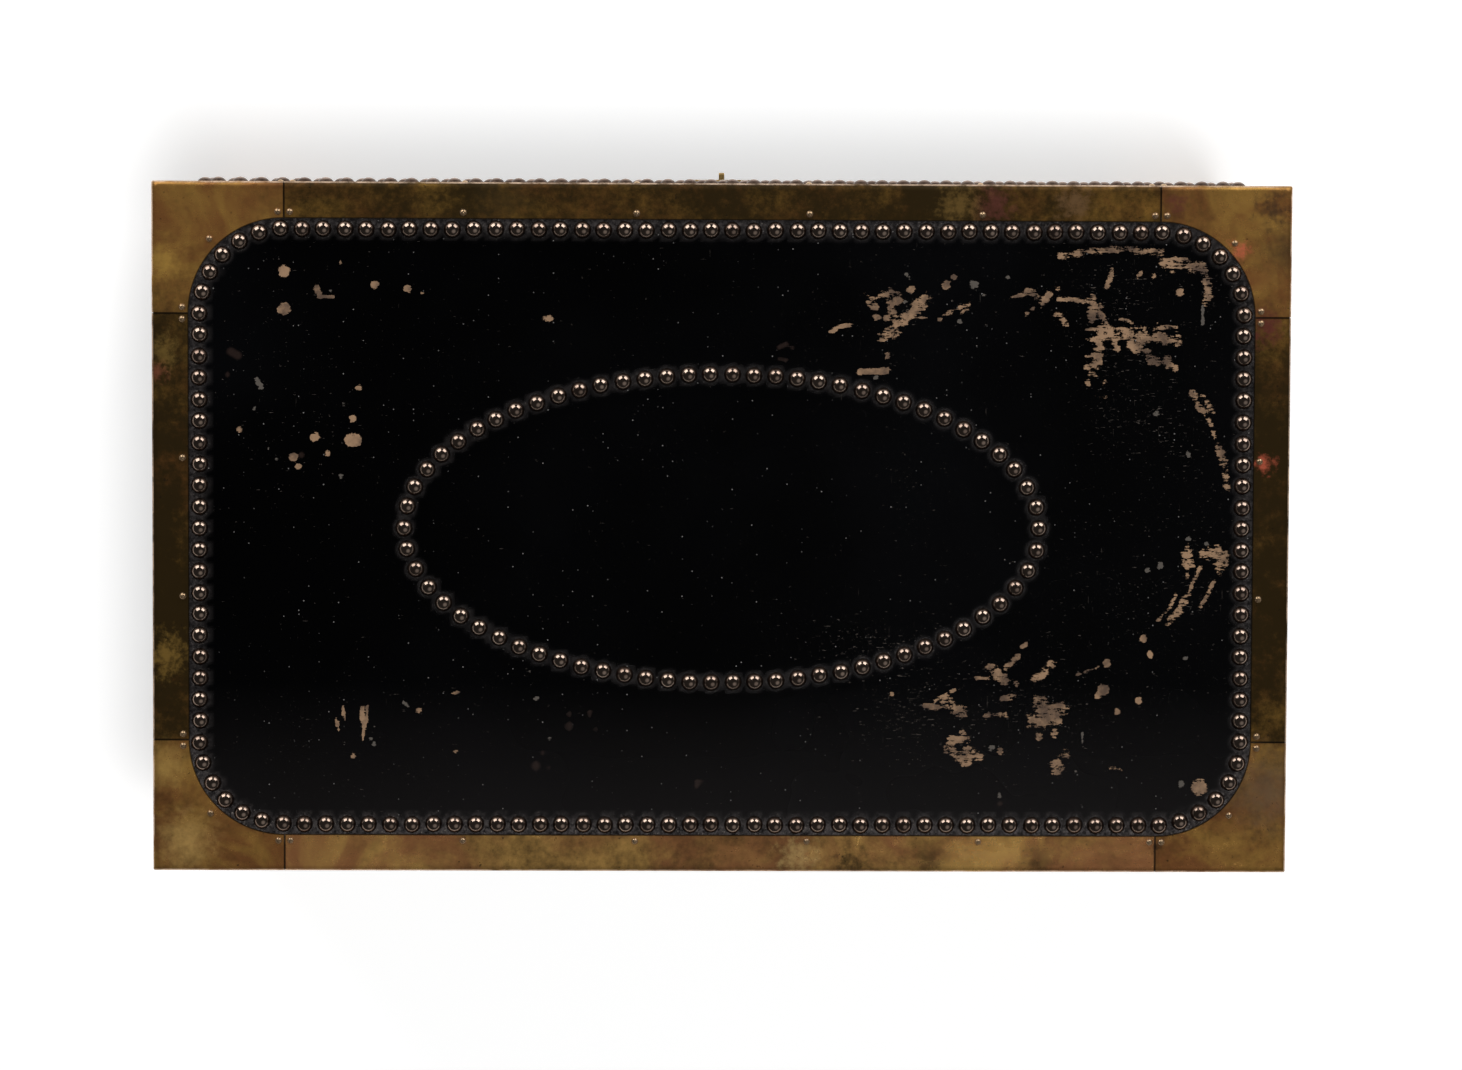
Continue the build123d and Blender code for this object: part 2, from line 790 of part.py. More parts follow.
handle_face_x = hide_width + handle_plate
bail_axis_x = handle_face_x + bail_standoff
boss_middle = boss_spread / 2
boss_outside = boss_middle + boss_width / 2
arm_y = boss_middle - boss_width / 2 - bail_side_gap - bail_arm_width / 2
grip_z = handle_height - bail_drop
handle_screw_places = [
    (i * handle_screw_spread / 2, j * handle_screw_rise / 2) for i in (-1, 1) for j in (-1, 1)
]
with BuildPart() as right_handle_plate:
    with BuildSketch(right_face):
        with Locations((0, handle_height)):
            RectangleRounded(handle_plate_width, handle_plate_height, handle_plate_corner)
    extrude(amount=handle_plate)
    for side in (-1, 1):
        low, high = sorted((side * (boss_middle - boss_width / 2), side * boss_outside))
        block(
            (hide_width, bail_axis_x),
            (low, high),
            (handle_height - boss_radius, handle_height + boss_radius),
        )
        rod_along_y(bail_axis_x, (low, high), handle_height, boss_radius)
        bore = trunnion_radius + pin_clearance
        rod_along_y(bail_axis_x, (low, high), handle_height, bore, Mode.SUBTRACT)
    with Locations(right_face.offset(handle_plate).location):
        with Locations(*[(u, handle_height + v) for u, v in handle_screw_places]):
            Hole(screw_radius)
with BuildPart() as left_handle_plate:
    mirror(right_handle_plate.part, about=Plane.YZ)
finish(right_handle_plate, "right_handle_plate")
finish(left_handle_plate, "left_handle_plate")

bail_plane = Plane(origin=(bail_axis_x, 0, 0), x_dir=(0, 1, 0), z_dir=(1, 0, 0))
with BuildPart() as right_handle_bail:
    with BuildLine(bail_plane) as bail_path:
        FilletPolyline(
            (-arm_y, handle_height),
            (-arm_y, grip_z),
            (arm_y, grip_z),
            (arm_y, handle_height),
            radius=bail_bend,
        )
    with BuildSketch(Plane(origin=bail_path.line @ 0, z_dir=bail_path.line % 0)):
        Circle(bail_rod)
    sweep()
    rod_along_y(bail_axis_x, (-grip_length / 2, grip_length / 2), grip_z, grip_radius)
    grip_ends = right_handle_bail.edges().filter_by(GeomType.CIRCLE)
    fillet(grip_ends.filter_by(lambda edge: abs(edge.radius - grip_radius) < 0.01), grip_round)
    for side in (-1, 1):
        arm = sorted((side * (arm_y - bail_arm_width / 2), side * (arm_y + bail_arm_width / 2)))
        trunnion = sorted((side * arm_y, side * (boss_outside + trunnion_end)))
        rod_along_y(bail_axis_x, arm, handle_height, bail_knuckle)
        rod_along_y(bail_axis_x, trunnion, handle_height, trunnion_radius)
        block(
            (bail_axis_x - heel_lead, bail_axis_x + heel_trail),
            arm,
            (handle_height, handle_height + bail_standoff - heel_clearance),
        )
with BuildPart() as left_handle_bail:
    mirror(right_handle_bail.part, about=Plane.YZ)
finish(right_handle_bail, "right_handle_bail")
finish(left_handle_bail, "left_handle_bail")

set_out(
    round_screw,
    "handle_screws",
    [
        face.offset(handle_plate).location * Location((u, handle_height + v, 0))
        for face in end_faces
        for u, v in handle_screw_places
    ],
)
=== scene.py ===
# %% [markdown]
# A campaign trunk in black painted hide, bound in sheet brass and studded with domed nails.
# The construction comes from a imported CAD model. This script dresses it: it gives every part
# its finish, lays the nails, ages the hide and the brass, and sets up the studio.

import bpy
import numpy as np
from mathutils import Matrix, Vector
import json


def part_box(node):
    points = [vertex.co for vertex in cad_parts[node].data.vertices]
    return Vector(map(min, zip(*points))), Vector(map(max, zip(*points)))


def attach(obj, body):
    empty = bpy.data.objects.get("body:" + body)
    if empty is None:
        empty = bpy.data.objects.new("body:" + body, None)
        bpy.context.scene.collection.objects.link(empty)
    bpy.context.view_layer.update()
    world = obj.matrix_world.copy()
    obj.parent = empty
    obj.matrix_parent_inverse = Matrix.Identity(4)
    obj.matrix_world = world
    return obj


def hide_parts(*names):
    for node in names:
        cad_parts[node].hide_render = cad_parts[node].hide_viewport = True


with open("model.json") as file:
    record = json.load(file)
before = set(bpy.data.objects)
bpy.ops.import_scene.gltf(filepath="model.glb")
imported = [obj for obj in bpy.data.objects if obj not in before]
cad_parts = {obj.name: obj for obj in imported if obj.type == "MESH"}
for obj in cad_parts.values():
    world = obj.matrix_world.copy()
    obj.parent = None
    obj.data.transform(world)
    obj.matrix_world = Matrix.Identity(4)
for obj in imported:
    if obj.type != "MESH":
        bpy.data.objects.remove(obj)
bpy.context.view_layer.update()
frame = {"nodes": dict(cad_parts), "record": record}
mm = 0.001

# %% [markdown]
# Everything is placed from the frame. The wooden and brass parts give the trunk's own outline,
# and from that come the planes on which the nails sit. Left, right, front and back are those of
# someone who faces the hasp, which is on the side towards -Y.

# %% Measure the trunk from its parts
lid_low, lid_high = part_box("lid_corner_cap_front_left")
hide_low, hide_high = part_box("lid_top_hide")
half_width = -lid_low[0]
half_depth = -lid_low[1]
trunk_top = lid_high[2]
hide_top = hide_high[2]
hide_half_width = hide_high[0]
hide_half_depth = hide_high[1]
strip_low, strip_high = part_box("lid_top_edge_front")
binding_leg = strip_high[1] - strip_low[1]
seam_x = strip_high[0]
seam_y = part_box("lid_top_edge_left")[1][1]
corner_radius = half_width - seam_x - binding_leg
window_inner = (seam_x, half_depth - binding_leg - corner_radius)
print("lid", round(2 * half_width, 4), "by", round(2 * half_depth, 4), "top", round(trunk_top, 4))

# %% [markdown]
# Shader trees are easier to read when one line makes one node. `join` makes a node beside those
# that feed it, changes its settings and fills its inputs, each with a constant or another node's
# output. The smaller helpers are the operations that every finish below is built from.

# %% Node helpers
def fill(node, inputs):
    """Sets some of a node's inputs: a socket is linked, and a colour gets full alpha."""
    for name, value in inputs.items():
        socket = node.inputs[name]
        if isinstance(value, bpy.types.NodeSocket):
            node.id_data.links.new(value, socket)
        else:
            socket.default_value = (*value, 1.0) if socket.type == "RGBA" else value


def drive(node, **values):
    """Sets inputs by their names, where an underscore stands for a space."""
    fill(node, {name.replace("_", " "): value for name, value in values.items()})


def add(tree, kind, inputs=None, **settings):
    """A new node, with its settings and its inputs."""
    made = tree.nodes.new("ShaderNode" + kind)
    for name, value in settings.items():
        setattr(made, name, value)
    fill(made, inputs or {})
    return made


def join(kind, inputs, **settings):
    """A new node in the tree that its inputs come from."""
    sockets = [value for value in inputs.values() if isinstance(value, bpy.types.NodeSocket)]
    return add(sockets[0].id_data, kind, inputs, **settings)


def maths(operation, a, b=0.0):
    """One arithmetic step on two values."""
    return join("Math", {0: a, 1: b}, operation=operation).outputs[0]


def times(a, b):
    """a times b."""
    return maths("MULTIPLY", a, b)


def times_plus(a, b, c):
    """a times b, plus c."""
    return join("Math", {0: a, 1: b, 2: c}, operation="MULTIPLY_ADD").outputs[0]


def vectors(operation, a, b=(0, 0, 0)):
    """One step on two vectors. Output 0 is a vector and output 1 a value."""
    return join("VectorMath", {0: a, 1: b}, operation=operation).outputs


def axes_of(place):
    """The X, Y and Z of a vector."""
    return join("SeparateXYZ", {0: place}).outputs


def fade(value, low, high, to_low=0.0, to_high=1.0):
    """A smooth step: to_low where value is under low, to_high where it is over high."""
    ends = {"From Min": low, "From Max": high, "To Min": to_low, "To Max": to_high}
    made = join("MapRange", {"Value": value, **ends}, interpolation_type="SMOOTHSTEP")
    return made.outputs[0]


def mix(factor, a, b):
    """Colour a where factor is 0 and colour b where it is 1, in linear light."""
    return join("Mix", {0: factor, 6: a, 7: b}, data_type="RGBA").outputs[2]


def noise(place, scale, detail=3.0, roughness=0.55, distortion=0.0):
    """Cloudy noise between 0 and 1, with its scale in waves a metre."""
    made = join("TexNoise", {"Vector": place, "Scale": scale, "Detail": detail})
    drive(made, Roughness=roughness, Distortion=distortion)
    return made.outputs[0]


def stretched(place, scale, turn=0.0, offset=0.0):
    """Coordinates squeezed or drawn out along each axis, to make streaks and grain."""
    made = join("Mapping", {"Vector": place, "Scale": scale})
    drive(made, Rotation=(0, 0, turn), Location=(offset,) * 3)
    return made.outputs[0]


def attribute(shader, name):
    """A value that the mesh carries at its points."""
    return add(shader.id_data, "Attribute", attribute_name=name).outputs["Fac"]


def bumped(*layers):
    """The surface normal, tipped by heights whose white is some distance above their black."""
    below = {}
    for height, distance in layers:
        made = join("Bump", {"Height": height, "Distance": distance, "Strength": 1.0, **below})
        below = {"Normal": made.outputs[0]}
    return made.outputs[0]


# %% New groups and materials
def new_group(name, inputs, outputs=("Color", "Rough", "Height")):
    """An empty node group. In go a Vector and some numbers and colours, out go named results."""
    tree = bpy.data.node_groups.new(name, "ShaderNodeTree")
    new_socket = tree.interface.new_socket
    new_socket("Vector", in_out="INPUT", socket_type="NodeSocketVector")
    for label, value in inputs.items():
        kind, value = ("Color", (*value, 1.0)) if isinstance(value, tuple) else ("Float", value)
        new_socket(label, in_out="INPUT", socket_type="NodeSocket" + kind).default_value = value
    for label in outputs:
        kind = "Color" if label == "Color" else "Float"
        new_socket(label, in_out="OUTPUT", socket_type="NodeSocket" + kind)
    return tree, tree.nodes.new("NodeGroupInput").outputs, tree.nodes.new("NodeGroupOutput")


def use_group(group, place, **values):
    """Puts a node group to work at some coordinates, with this material's own values."""
    placed = join("Group", {"Vector": place}, node_tree=group)
    drive(placed, **values)
    return placed.outputs


def new_material(name):
    """A material with nothing in it but a Principled shader and object coordinates."""
    made = bpy.data.materials.new(name)
    made.use_nodes = True
    place = add(made.node_tree, "TexCoord").outputs["Object"]
    return made, made.node_tree.nodes["Principled BSDF"], place


# %% [markdown]
# Brass ages in the same few ways on sheets, nails, pins and fittings: a brown film grows in
# clouds, hands rub it thin again, acid leaves coppery spots, and grime sits in pits. A shared
# node group holds those ways, so all the metal on the trunk belongs together, and each piece
# of metal sets how much of each it shows.

# %% Shared effect: brass patina
def make_patina():
    """Film = clouds of three sizes; spots and pits = noise cut off near its peaks."""
    tones = {"Bright": (0.42, 0.27, 0.08), "Film": (0.05, 0.032, 0.012)}
    inputs = {"Cloud scale": 9.0, "Rubbed": 0.0, **tones, "Spots": 0.5}
    tree, given, put = new_group("Brass patina", inputs)
    place, scale = given["Vector"], given["Cloud scale"]
    clouds = noise(place, scale, 5.0, 0.6, 0.4)
    mottle = noise(place, times(scale, 7.0), 6.0, 0.7)
    fine = noise(place, times(scale, 26.0), 5.0, 0.7)
    film = times_plus(fine, 0.45, times_plus(mottle, 0.65, clouds))
    covered = fade(maths("SUBTRACT", film, given["Rubbed"]), 0.52, 1.22)
    metal = mix(covered, given["Bright"], given["Film"])

    spot_noise = noise(place, times(scale, 2.6), 8.0, 0.72, 0.6)
    spotted = times(fade(spot_noise, 0.685, 0.74), given["Spots"])
    metal = mix(spotted, metal, (0.30, 0.095, 0.045))
    pits = fade(noise(place, times(scale, 30.0), 4.0, 0.6), 0.66, 0.72)
    metal = mix(times(pits, 0.75), metal, (0.018, 0.012, 0.007))

    rough = times_plus(covered, 0.24, times(mottle, 0.22))
    height = maths("SUBTRACT", mottle, times(pits, 0.6))
    drive(put, Color=metal, Rough=maths("ADD", rough, 0.14), Height=height)
    return tree


patina = make_patina()
print("group", patina.name)

# %% [markdown]
# On the hasp, hinges and handles, wear follows the edges, which is where hands touch them. The
# Bevel node bends the normal near an edge, so the angle between that normal and the true one
# says how near an edge a point is. Noise breaks the line up, or it would look drawn on.

# %% Shared effect: edge wear
def make_edge_wear():
    """Wear = 1 - (bevelled normal . true normal), spread and broken up by noise."""
    tree, given, put = new_group("Edge wear", {"Radius": 0.002, "Amount": 1.0}, ["Wear"])
    soft = join("Bevel", {"Radius": given["Radius"]}, samples=4).outputs[0]
    true = add(tree, "NewGeometry").outputs["Normal"]
    near = fade(vectors("DOT_PRODUCT", soft, true)[1], 1.0, 0.90)
    broken = fade(noise(given["Vector"], 70.0, 6.0, 0.7), 0.38, 0.62)
    drive(put, Wear=times(times(near, broken), given["Amount"]))
    return tree


edge_wear = make_edge_wear()
print("group", edge_wear.name)

# %% [markdown]
# Dust and old polish collect where a cloth can't reach, in the angle between two parts. Ambient
# occlusion measures just that: how much of a point's surroundings is near and in the way.

# %% Shared effect: dust in corners
def make_corner_dust():
    """Dust = how shut in the point is within Reach, broken up by noise."""
    tree, given, put = new_group("Corner dust", {"Reach": 0.004, "Amount": 1.0}, ["Dust"])
    open_air = join("AmbientOcclusion", {"Distance": given["Reach"]}, samples=6)
    shut_in = fade(open_air.outputs["AO"], 0.85, 0.35)
    broken = fade(noise(given["Vector"], 260.0, 4.0, 0.7), 0.30, 0.65)
    drive(put, Dust=times(times(shut_in, broken), given["Amount"]))
    return tree


corner_dust = make_corner_dust()
print("group", corner_dust.name)

# %% [markdown]
# The bindings are sheet brass, thin enough that every knock shows as a shallow dent. The sheet
# is darkest in the middle of each side and rubbed bright towards the trunk's corners, where it
# was handled. The CAD parts already have the right folds and seams, so they keep their
# meshes, and the dents, the wiping marks and the film come from the material. Seams and folds
# are plain planes and the window's edge a rounded rectangle, so a point's distance to them says
# where grime sits in the seams, where a painted shade line runs along the window's edge, and
# where the folds are worn and carry a painted highlight.

# %% Lid outline in the reference picture
picture_left = 152.5
picture_right = 1288.5
picture_top = 182.5
picture_bottom = 872.0


def from_picture(points):
    """Picture pixels to metres on the lid: the picture's top is the front, its left is +X."""
    points = np.asarray(points, float)
    x = half_width * (1 - 2 * (points[:, 0] - picture_left) / (picture_right - picture_left))
    y = half_depth * (2 * (points[:, 1] - picture_top) / (picture_bottom - picture_top) - 1)
    return np.stack([x, y], -1)


pixel = 2 * half_width / (picture_right - picture_left)
print("a picture pixel is", round(pixel / mm, 3), "mm")

# %% Where the sheet is rubbed, stained and grimed
# Each place has a name, a centre and a reach in picture pixels, and a colour.
stains = (
    ("copper by the front right corner", (1236, 247), 15, (1.0, 0.23, 0.12)),
    ("copper on the right", (1263, 460), 13, (0.95, 0.20, 0.11)),
    ("purple bloom at the right seam", (1264, 322), 24, (0.19, 0.045, 0.040)),
    ("purple bloom on the front strip", (990, 203), 26, (0.19, 0.060, 0.045)),
    ("brown patch at the front right corner", (1268, 205), 24, (0.075, 0.042, 0.028)),
    ("brown film at the right corner", (1284, 245), 46, (0.07, 0.042, 0.024)),
    ("polish at the back left corner", (186, 842), 44, (0.85, 0.53, 0.17)),
    ("polish up the left side", (166, 768), 34, (0.75, 0.47, 0.13)),
    ("polish by the front left corner", (164, 262), 32, (0.78, 0.47, 0.10)),
    ("greyed film over the back right corner", (1272, 790), 60, (0.22, 0.145, 0.085)),
    ("polish low on the left strip", (166, 655), 29, (0.36, 0.215, 0.050)),
    ("polish high on the left strip", (166, 352), 22, (0.28, 0.175, 0.045)),
    ("coppery film on the front strip", (1070, 200), 24, (0.26, 0.145, 0.065)),
    ("polish on the front strip", (955, 201), 29, (0.25, 0.150, 0.042)),
    ("dulled patch on the front strip", (500, 201), 44, (0.05, 0.034, 0.014)),
    ("coppery film on the left strip", (157, 372), 14, (0.34, 0.11, 0.06)),
    ("purple bloom at the front seam", (1172, 201), 14, (0.20, 0.055, 0.045)),
    ("polish on the back strip", (800, 856), 29, (0.62, 0.42, 0.16)),
    ("smudge on the back strip", (850, 862), 26, (0.030, 0.021, 0.010)),
    ("smudge further along", (930, 862), 30, (0.028, 0.020, 0.010)),
    ("smudge near the seam", (1040, 864), 30, (0.030, 0.021, 0.010)),
    ("pitting at the back right seam", (1158, 846), 9, (0.020, 0.014, 0.009)),
)


def towards_corner(place):
    """0 in the middle of a side and 1 at the trunk's vertical corners, from |x| and |y|."""
    away = axes_of(vectors("ABSOLUTE", place)[0])
    along = fade(away["X"], 0.30 * half_width, 0.95 * half_width)
    return times(along, fade(away["Y"], 0.30 * half_depth, 0.95 * half_depth))


def beside_seams(place, reach):
    """1 on the planes where two pieces of brass meet, and 0 from reach on."""
    seams = vectors("SUBTRACT", vectors("ABSOLUTE", place)[0], (seam_x, seam_y, 0))[0]
    gap = axes_of(vectors("ABSOLUTE", seams)[0])
    return fade(maths("MINIMUM", gap["X"], gap["Y"]), reach, 0.25 * reach)


def outer_folds(place, reach):
    """1 where two of the trunk's outer planes meet: the nearness to each plane, added up."""
    middle = (0, 0, trunk_top / 2)
    away = axes_of(vectors("ABSOLUTE", vectors("SUBTRACT", place, middle)[0])[0])
    total = 0.0
    for axis, limit in (("X", half_width), ("Y", half_depth), ("Z", trunk_top / 2)):
        near = fade(away[axis], limit - reach, limit - 0.3 * reach)
        total = maths("ADD", near, total)
    return fade(total, 1.1, 1.9)


def rounded_folds(place, reach):
    """How far the sheet has turned away at its folds: minus the sum of (1 - gap / reach)^2."""
    away = axes_of(vectors("ABSOLUTE", place)[0])
    total = 0.0
    for axis, limit in (("X", half_width), ("Y", half_depth), ("Z", trunk_top)):
        near = {"Value": away[axis], "From Min": limit - reach, "From Max": limit}
        near = join("MapRange", near).outputs[0]
        total = maths("SUBTRACT", total, maths("POWER", near, 2.0))
    return total


def window_edge_shade(place, reach):
    """1 along the lid's window in the brass, a painted shade line at the sheet's edge: distance
    past its inner rectangle less its radius.
    """
    away = vectors("ABSOLUTE", place)[0]
    away = vectors("SUBTRACT", away, (*window_inner, trunk_top))[0]
    length = vectors("LENGTH", vectors("MAXIMUM", away)[0])[1]
    return fade(length, corner_radius + reach, corner_radius + 0.3 * reach)


def stained(place, metal):
    """Mixes in each stain by its distance from a point on the lid, bent by noise if it is small."""
    ragged = noise(place, 170.0, 8.0, 0.7)
    for _, centre, reach, tone in stains:
        point = (*from_picture([centre])[0].tolist(), float(trunk_top))
        gap = vectors("DISTANCE", place, point)[1]
        bend = 3.4 if reach < 30 else 1.3
        bent = times_plus(ragged, bend * reach * pixel, gap)
        outer = (bend / 2 + 1.0) * reach * pixel
        core = (bend / 2 - 0.2) * reach * pixel
        metal = mix(fade(bent, outer, core, 0.0, 0.75), metal, tone)
    return metal


# %% Sheet brass
seam_line = 1.1 * mm
window_shade_line = 0.9 * mm
fold_wear_and_highlight_reach = 1.6 * mm
fold_reach = 4.5 * mm
fold_drop = 1.8 * mm
dent_depth = 2.6 * mm
knock_depth = 0.3 * mm
film_depth = 0.06 * mm


def make_sheet_brass(name, rubbed, bright, film):
    """Patina thinned towards the corners, with dents, wiping marks, worn folds that carry a painted
    highlight, and a painted shade line along the window's edge.
    """
    made, shader, place = new_material(name)
    corner = times(towards_corner(place), 0.34)
    tone = fade(noise(place, 16.0, 5.0, 0.65, 0.6), 0.38, 0.62)
    brown = (0.62 * bright[0], 0.46 * bright[1], 0.62 * bright[2])
    aged = use_group(
        patina,
        place,
        Cloud_scale=9.0,
        Rubbed=maths("ADD", corner, rubbed),
        Bright=mix(tone, bright, brown),
        Film=film,
        Spots=0.55,
    )
    metal = stained(place, aged["Color"])
    # Dark lines: grime in the seams, and a painted shade line along the window's inner edge.
    seams = beside_seams(place, seam_line)
    seams = maths("MAXIMUM", seams, window_edge_shade(place, window_shade_line))
    metal = mix(times(seams, 0.85), metal, (0.010, 0.007, 0.004))
    dust = use_group(corner_dust, place, Reach=3 * mm, Amount=0.7)["Dust"]
    metal = mix(dust, metal, (0.030, 0.024, 0.016))
    specks = fade(noise(place, 700.0, 5.0, 0.8), 0.735, 0.79, 0.0, 0.5)
    metal = mix(specks, metal, (0.42, 0.36, 0.26))
    # The pale band along the outer folds is partly rubbed metal and partly a painted highlight,
    # where the turned edge would catch the lamps.
    rubbing = fade(noise(place, 70.0, 6.0, 0.7), 0.34, 0.60, 0.05, 0.85)
    fold_wear_and_highlight = times(outer_folds(place, fold_wear_and_highlight_reach), rubbing)
    metal = mix(fold_wear_and_highlight, metal, (0.78, 0.57, 0.41))

    wiped = noise(stretched(place, (6.0, 60.0, 60.0)), 4.0, 6.0, 0.7)
    wiping = fade(wiped, 0.35, 0.75, 0.0, 0.035)
    normal = bumped(
        (noise(place, 17.0, 2.0, 0.5), dent_depth),
        (noise(place, 75.0, 2.0, 0.5), knock_depth),
        (rounded_folds(place, fold_reach), fold_drop),
        (aged["Height"], film_depth),
    )
    rough = maths("ADD", aged["Rough"], wiping)
    drive(shader, Base_Color=metal, Roughness=rough, Metallic=0.65, Normal=normal)
    drive(shader, Specular_IOR_Level=0.25)
    return made


sheet_corners = make_sheet_brass(
    "sheet_brass_corners", 0.07, (0.47, 0.255, 0.062), (0.050, 0.028, 0.010)
)
sheet_strips = make_sheet_brass(
    "sheet_brass_strips", -0.10, (0.48, 0.262, 0.055), (0.040, 0.024, 0.007)
)
# The lid's back strip has a thinner film and brighter metal: a painted highlight for the light on
# the lid's back edge.
sheet_back_painted_lit = make_sheet_brass(
    "sheet_brass_back_strip_painted_lit", 0.21, (0.63, 0.365, 0.105), (0.072, 0.042, 0.017)
)
print("materials", sheet_corners.name, sheet_strips.name, sheet_back_painted_lit.name)

# %% [markdown]
# The other metal differs in how it is handled. Fittings that move are rubbed bright, pins and
# screws lie flat and keep their film, and the domed nails are the darkest: a thin film over
# pressed brass, polished only on their crowns, and less so on the sides than on the lid. Each
# nail's lower flank is darkened, partly grime at its foot and partly painted shade.

# %% Fittings, pins and screws
def make_small_brass(name, scale, rubbed, wear, bright, film, dust=0.8):
    """Brass whose patina is finer than the sheet's, with bright edges and dusty corners."""
    made, shader, place = new_material(name)
    edges = use_group(edge_wear, place, Radius=1.2 * mm, Amount=wear)["Wear"]
    aged = use_group(
        patina,
        place,
        Cloud_scale=scale,
        Rubbed=maths("ADD", edges, rubbed),
        Bright=bright,
        Film=film,
        Spots=0.15,
    )
    dust = use_group(corner_dust, place, Reach=2.5 * mm, Amount=dust)["Dust"]
    dusty = mix(dust, aged["Color"], (0.05, 0.042, 0.032))
    normal = bumped((aged["Height"], 0.08 * mm))
    drive(shader, Base_Color=dusty, Roughness=aged["Rough"], Metallic=0.9, Normal=normal)
    return made


fitting_tones = ((0.52, 0.33, 0.10), (0.075, 0.047, 0.018))
pin_tones = ((0.60, 0.41, 0.24), (0.20, 0.125, 0.065))
screw_tones = ((0.36, 0.24, 0.09), (0.055, 0.038, 0.018))
fitting_brass = make_small_brass("fitting_brass", 26.0, 0.16, 0.7, *fitting_tones)
pin_brass = make_small_brass("pin_brass", 60.0, 0.35, 0.5, *pin_tones, 0.25)
screw_brass = make_small_brass("screw_brass", 60.0, 0.0, 0.5, *screw_tones)
print("materials", fitting_brass.name, pin_brass.name, screw_brass.name)

# %% Nail brass
def make_nail_brass():
    """Dark bronze, a little brighter on the crown, with each nail's own tint, and a lower flank
    darkened by grime and painted shade.
    """
    made, shader, place = new_material("nail_brass")
    crown = attribute(shader, "crown")
    polish = fade(crown, 0.25, 0.95, 0.0, 0.25)
    aged = use_group(
        patina,
        place,
        Cloud_scale=45.0,
        Rubbed=times_plus(attribute(shader, "tint"), 0.25, polish),
        Bright=(0.52, 0.39, 0.31),
        Film=(0.26, 0.175, 0.135),
        Spots=0.1,
    )
    # The lower flank is darkened: grime at the foot, and painted shade where the dome would reflect
    # the bright horizon.
    rim = fade(crown, 0.80, 0.40)
    grimy_and_shaded = mix(times(rim, 0.86), aged["Color"], (0.048, 0.028, 0.020))
    rough = times_plus(aged["Rough"], 0.42, times(rim, 0.25))
    normal = bumped((noise(place, 260.0, 1.0), 0.03 * mm))
    drive(shader, Base_Color=grimy_and_shaded, Roughness=rough, Metallic=1.0, Normal=normal)
    return made


nail_brass = make_nail_brass()
print("material", nail_brass.name)

# %% [markdown]
# The nails are hammered in by hand, so no two stand quite alike: each is turned, tipped and
# shifted a little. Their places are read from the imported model, where the highest point of
# each dome is a vertex of its own. One dome is a grid of rings and spokes, and the whole row
# is that grid repeated with numpy, so there is no loop over nails or vertices.

# %% Dome shape
nail_radius = 6.0 * mm
nail_dome = 4.9 * mm
nail_foot = 0.3 * mm
dome_rings = 4
dome_spokes = 12


def dome():
    """A cap of a sphere, radius R = (r^2 + h^2) / 2h, as points, normals, heights and faces."""
    sphere = (nail_radius**2 + nail_dome**2) / (2 * nail_dome)
    widest = np.arccos((sphere - nail_dome - nail_foot) / sphere)
    slope = np.linspace(0, widest, dome_rings + 1)[1:, None]
    turn = np.linspace(0, 2 * np.pi, dome_spokes, endpoint=False)[None, :]
    facing = np.stack(
        [np.sin(slope) * np.cos(turn), np.sin(slope) * np.sin(turn), np.cos(slope) + 0 * turn], -1
    )
    facing = np.vstack([[0, 0, 1], facing.reshape(-1, 3)])
    points = facing * sphere - [0, 0, sphere - nail_dome]
    points = np.vstack([points, [0, 0, -nail_foot]])
    facing = np.vstack([facing, [0, 0, -1]])
    crown = np.clip(points[:, 2] / nail_dome, 0, 1)
    spoke = np.arange(dome_spokes)
    beyond = (spoke + 1) % dome_spokes
    ring = 1 + dome_spokes * np.arange(dome_rings - 1)[:, None]
    last = 1 + dome_spokes * (dome_rings - 1)
    cap = np.stack([0 * spoke, 1 + spoke, 1 + beyond], -1)
    walls = np.stack(
        [ring + spoke, ring + dome_spokes + spoke, ring + dome_spokes + beyond, ring + beyond], -1
    ).reshape(-1, 4)
    foot = np.stack([0 * spoke + len(points) - 1, last + beyond, last + spoke], -1)
    return points, facing, crown, (cap, walls, foot)


dome_points, dome_facing, dome_crown, dome_faces = dome()
print("one dome", len(dome_points), "points", sum(len(f) for f in dome_faces), "faces")

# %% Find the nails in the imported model
outward = {
    "top": (0, 0, 1),
    "front": (0, -1, 0),
    "back": (0, 1, 0),
    "left": (-1, 0, 0),
    "right": (1, 0, 0),
}
hide_reach = (hide_half_width, hide_half_depth, hide_top)


def vertices_of(node):
    """A CAD node's vertices as an array."""
    mesh = frame["nodes"][node].data
    found = np.empty(3 * len(mesh.vertices))
    mesh.vertices.foreach_get("co", found)
    return found.reshape(-1, 3)


def nail_places(node, side):
    """The tips of the domes on one side: vertices a dome's height out from the hide."""
    normal = np.array(outward[side], float)
    points = vertices_of(node)
    tip = np.abs(normal) @ hide_reach + nail_dome
    tips = points[np.abs(points @ normal - tip) < 0.02 * mm]
    tips = np.unique(np.round(tips, 5), axis=0)
    return tips - normal * nail_dome


# %% Put pieces in the scene
def show(name, data):
    """An object for a mesh, a lamp or a camera, put in the scene at the origin."""
    made = bpy.data.objects.new(name, data)
    bpy.context.collection.objects.link(made)
    return made


def write_layers(mesh, layers):
    """Writes one value for each point of a mesh, as an attribute for each layer."""
    for name, values in layers.items():
        mesh.attributes.new(name, "FLOAT", "POINT").data.foreach_set("value", values)


# %% Lay a set of nails
nail_shift = 0.35 * mm
nail_tip = np.radians(4.0)
nail_size = 0.03


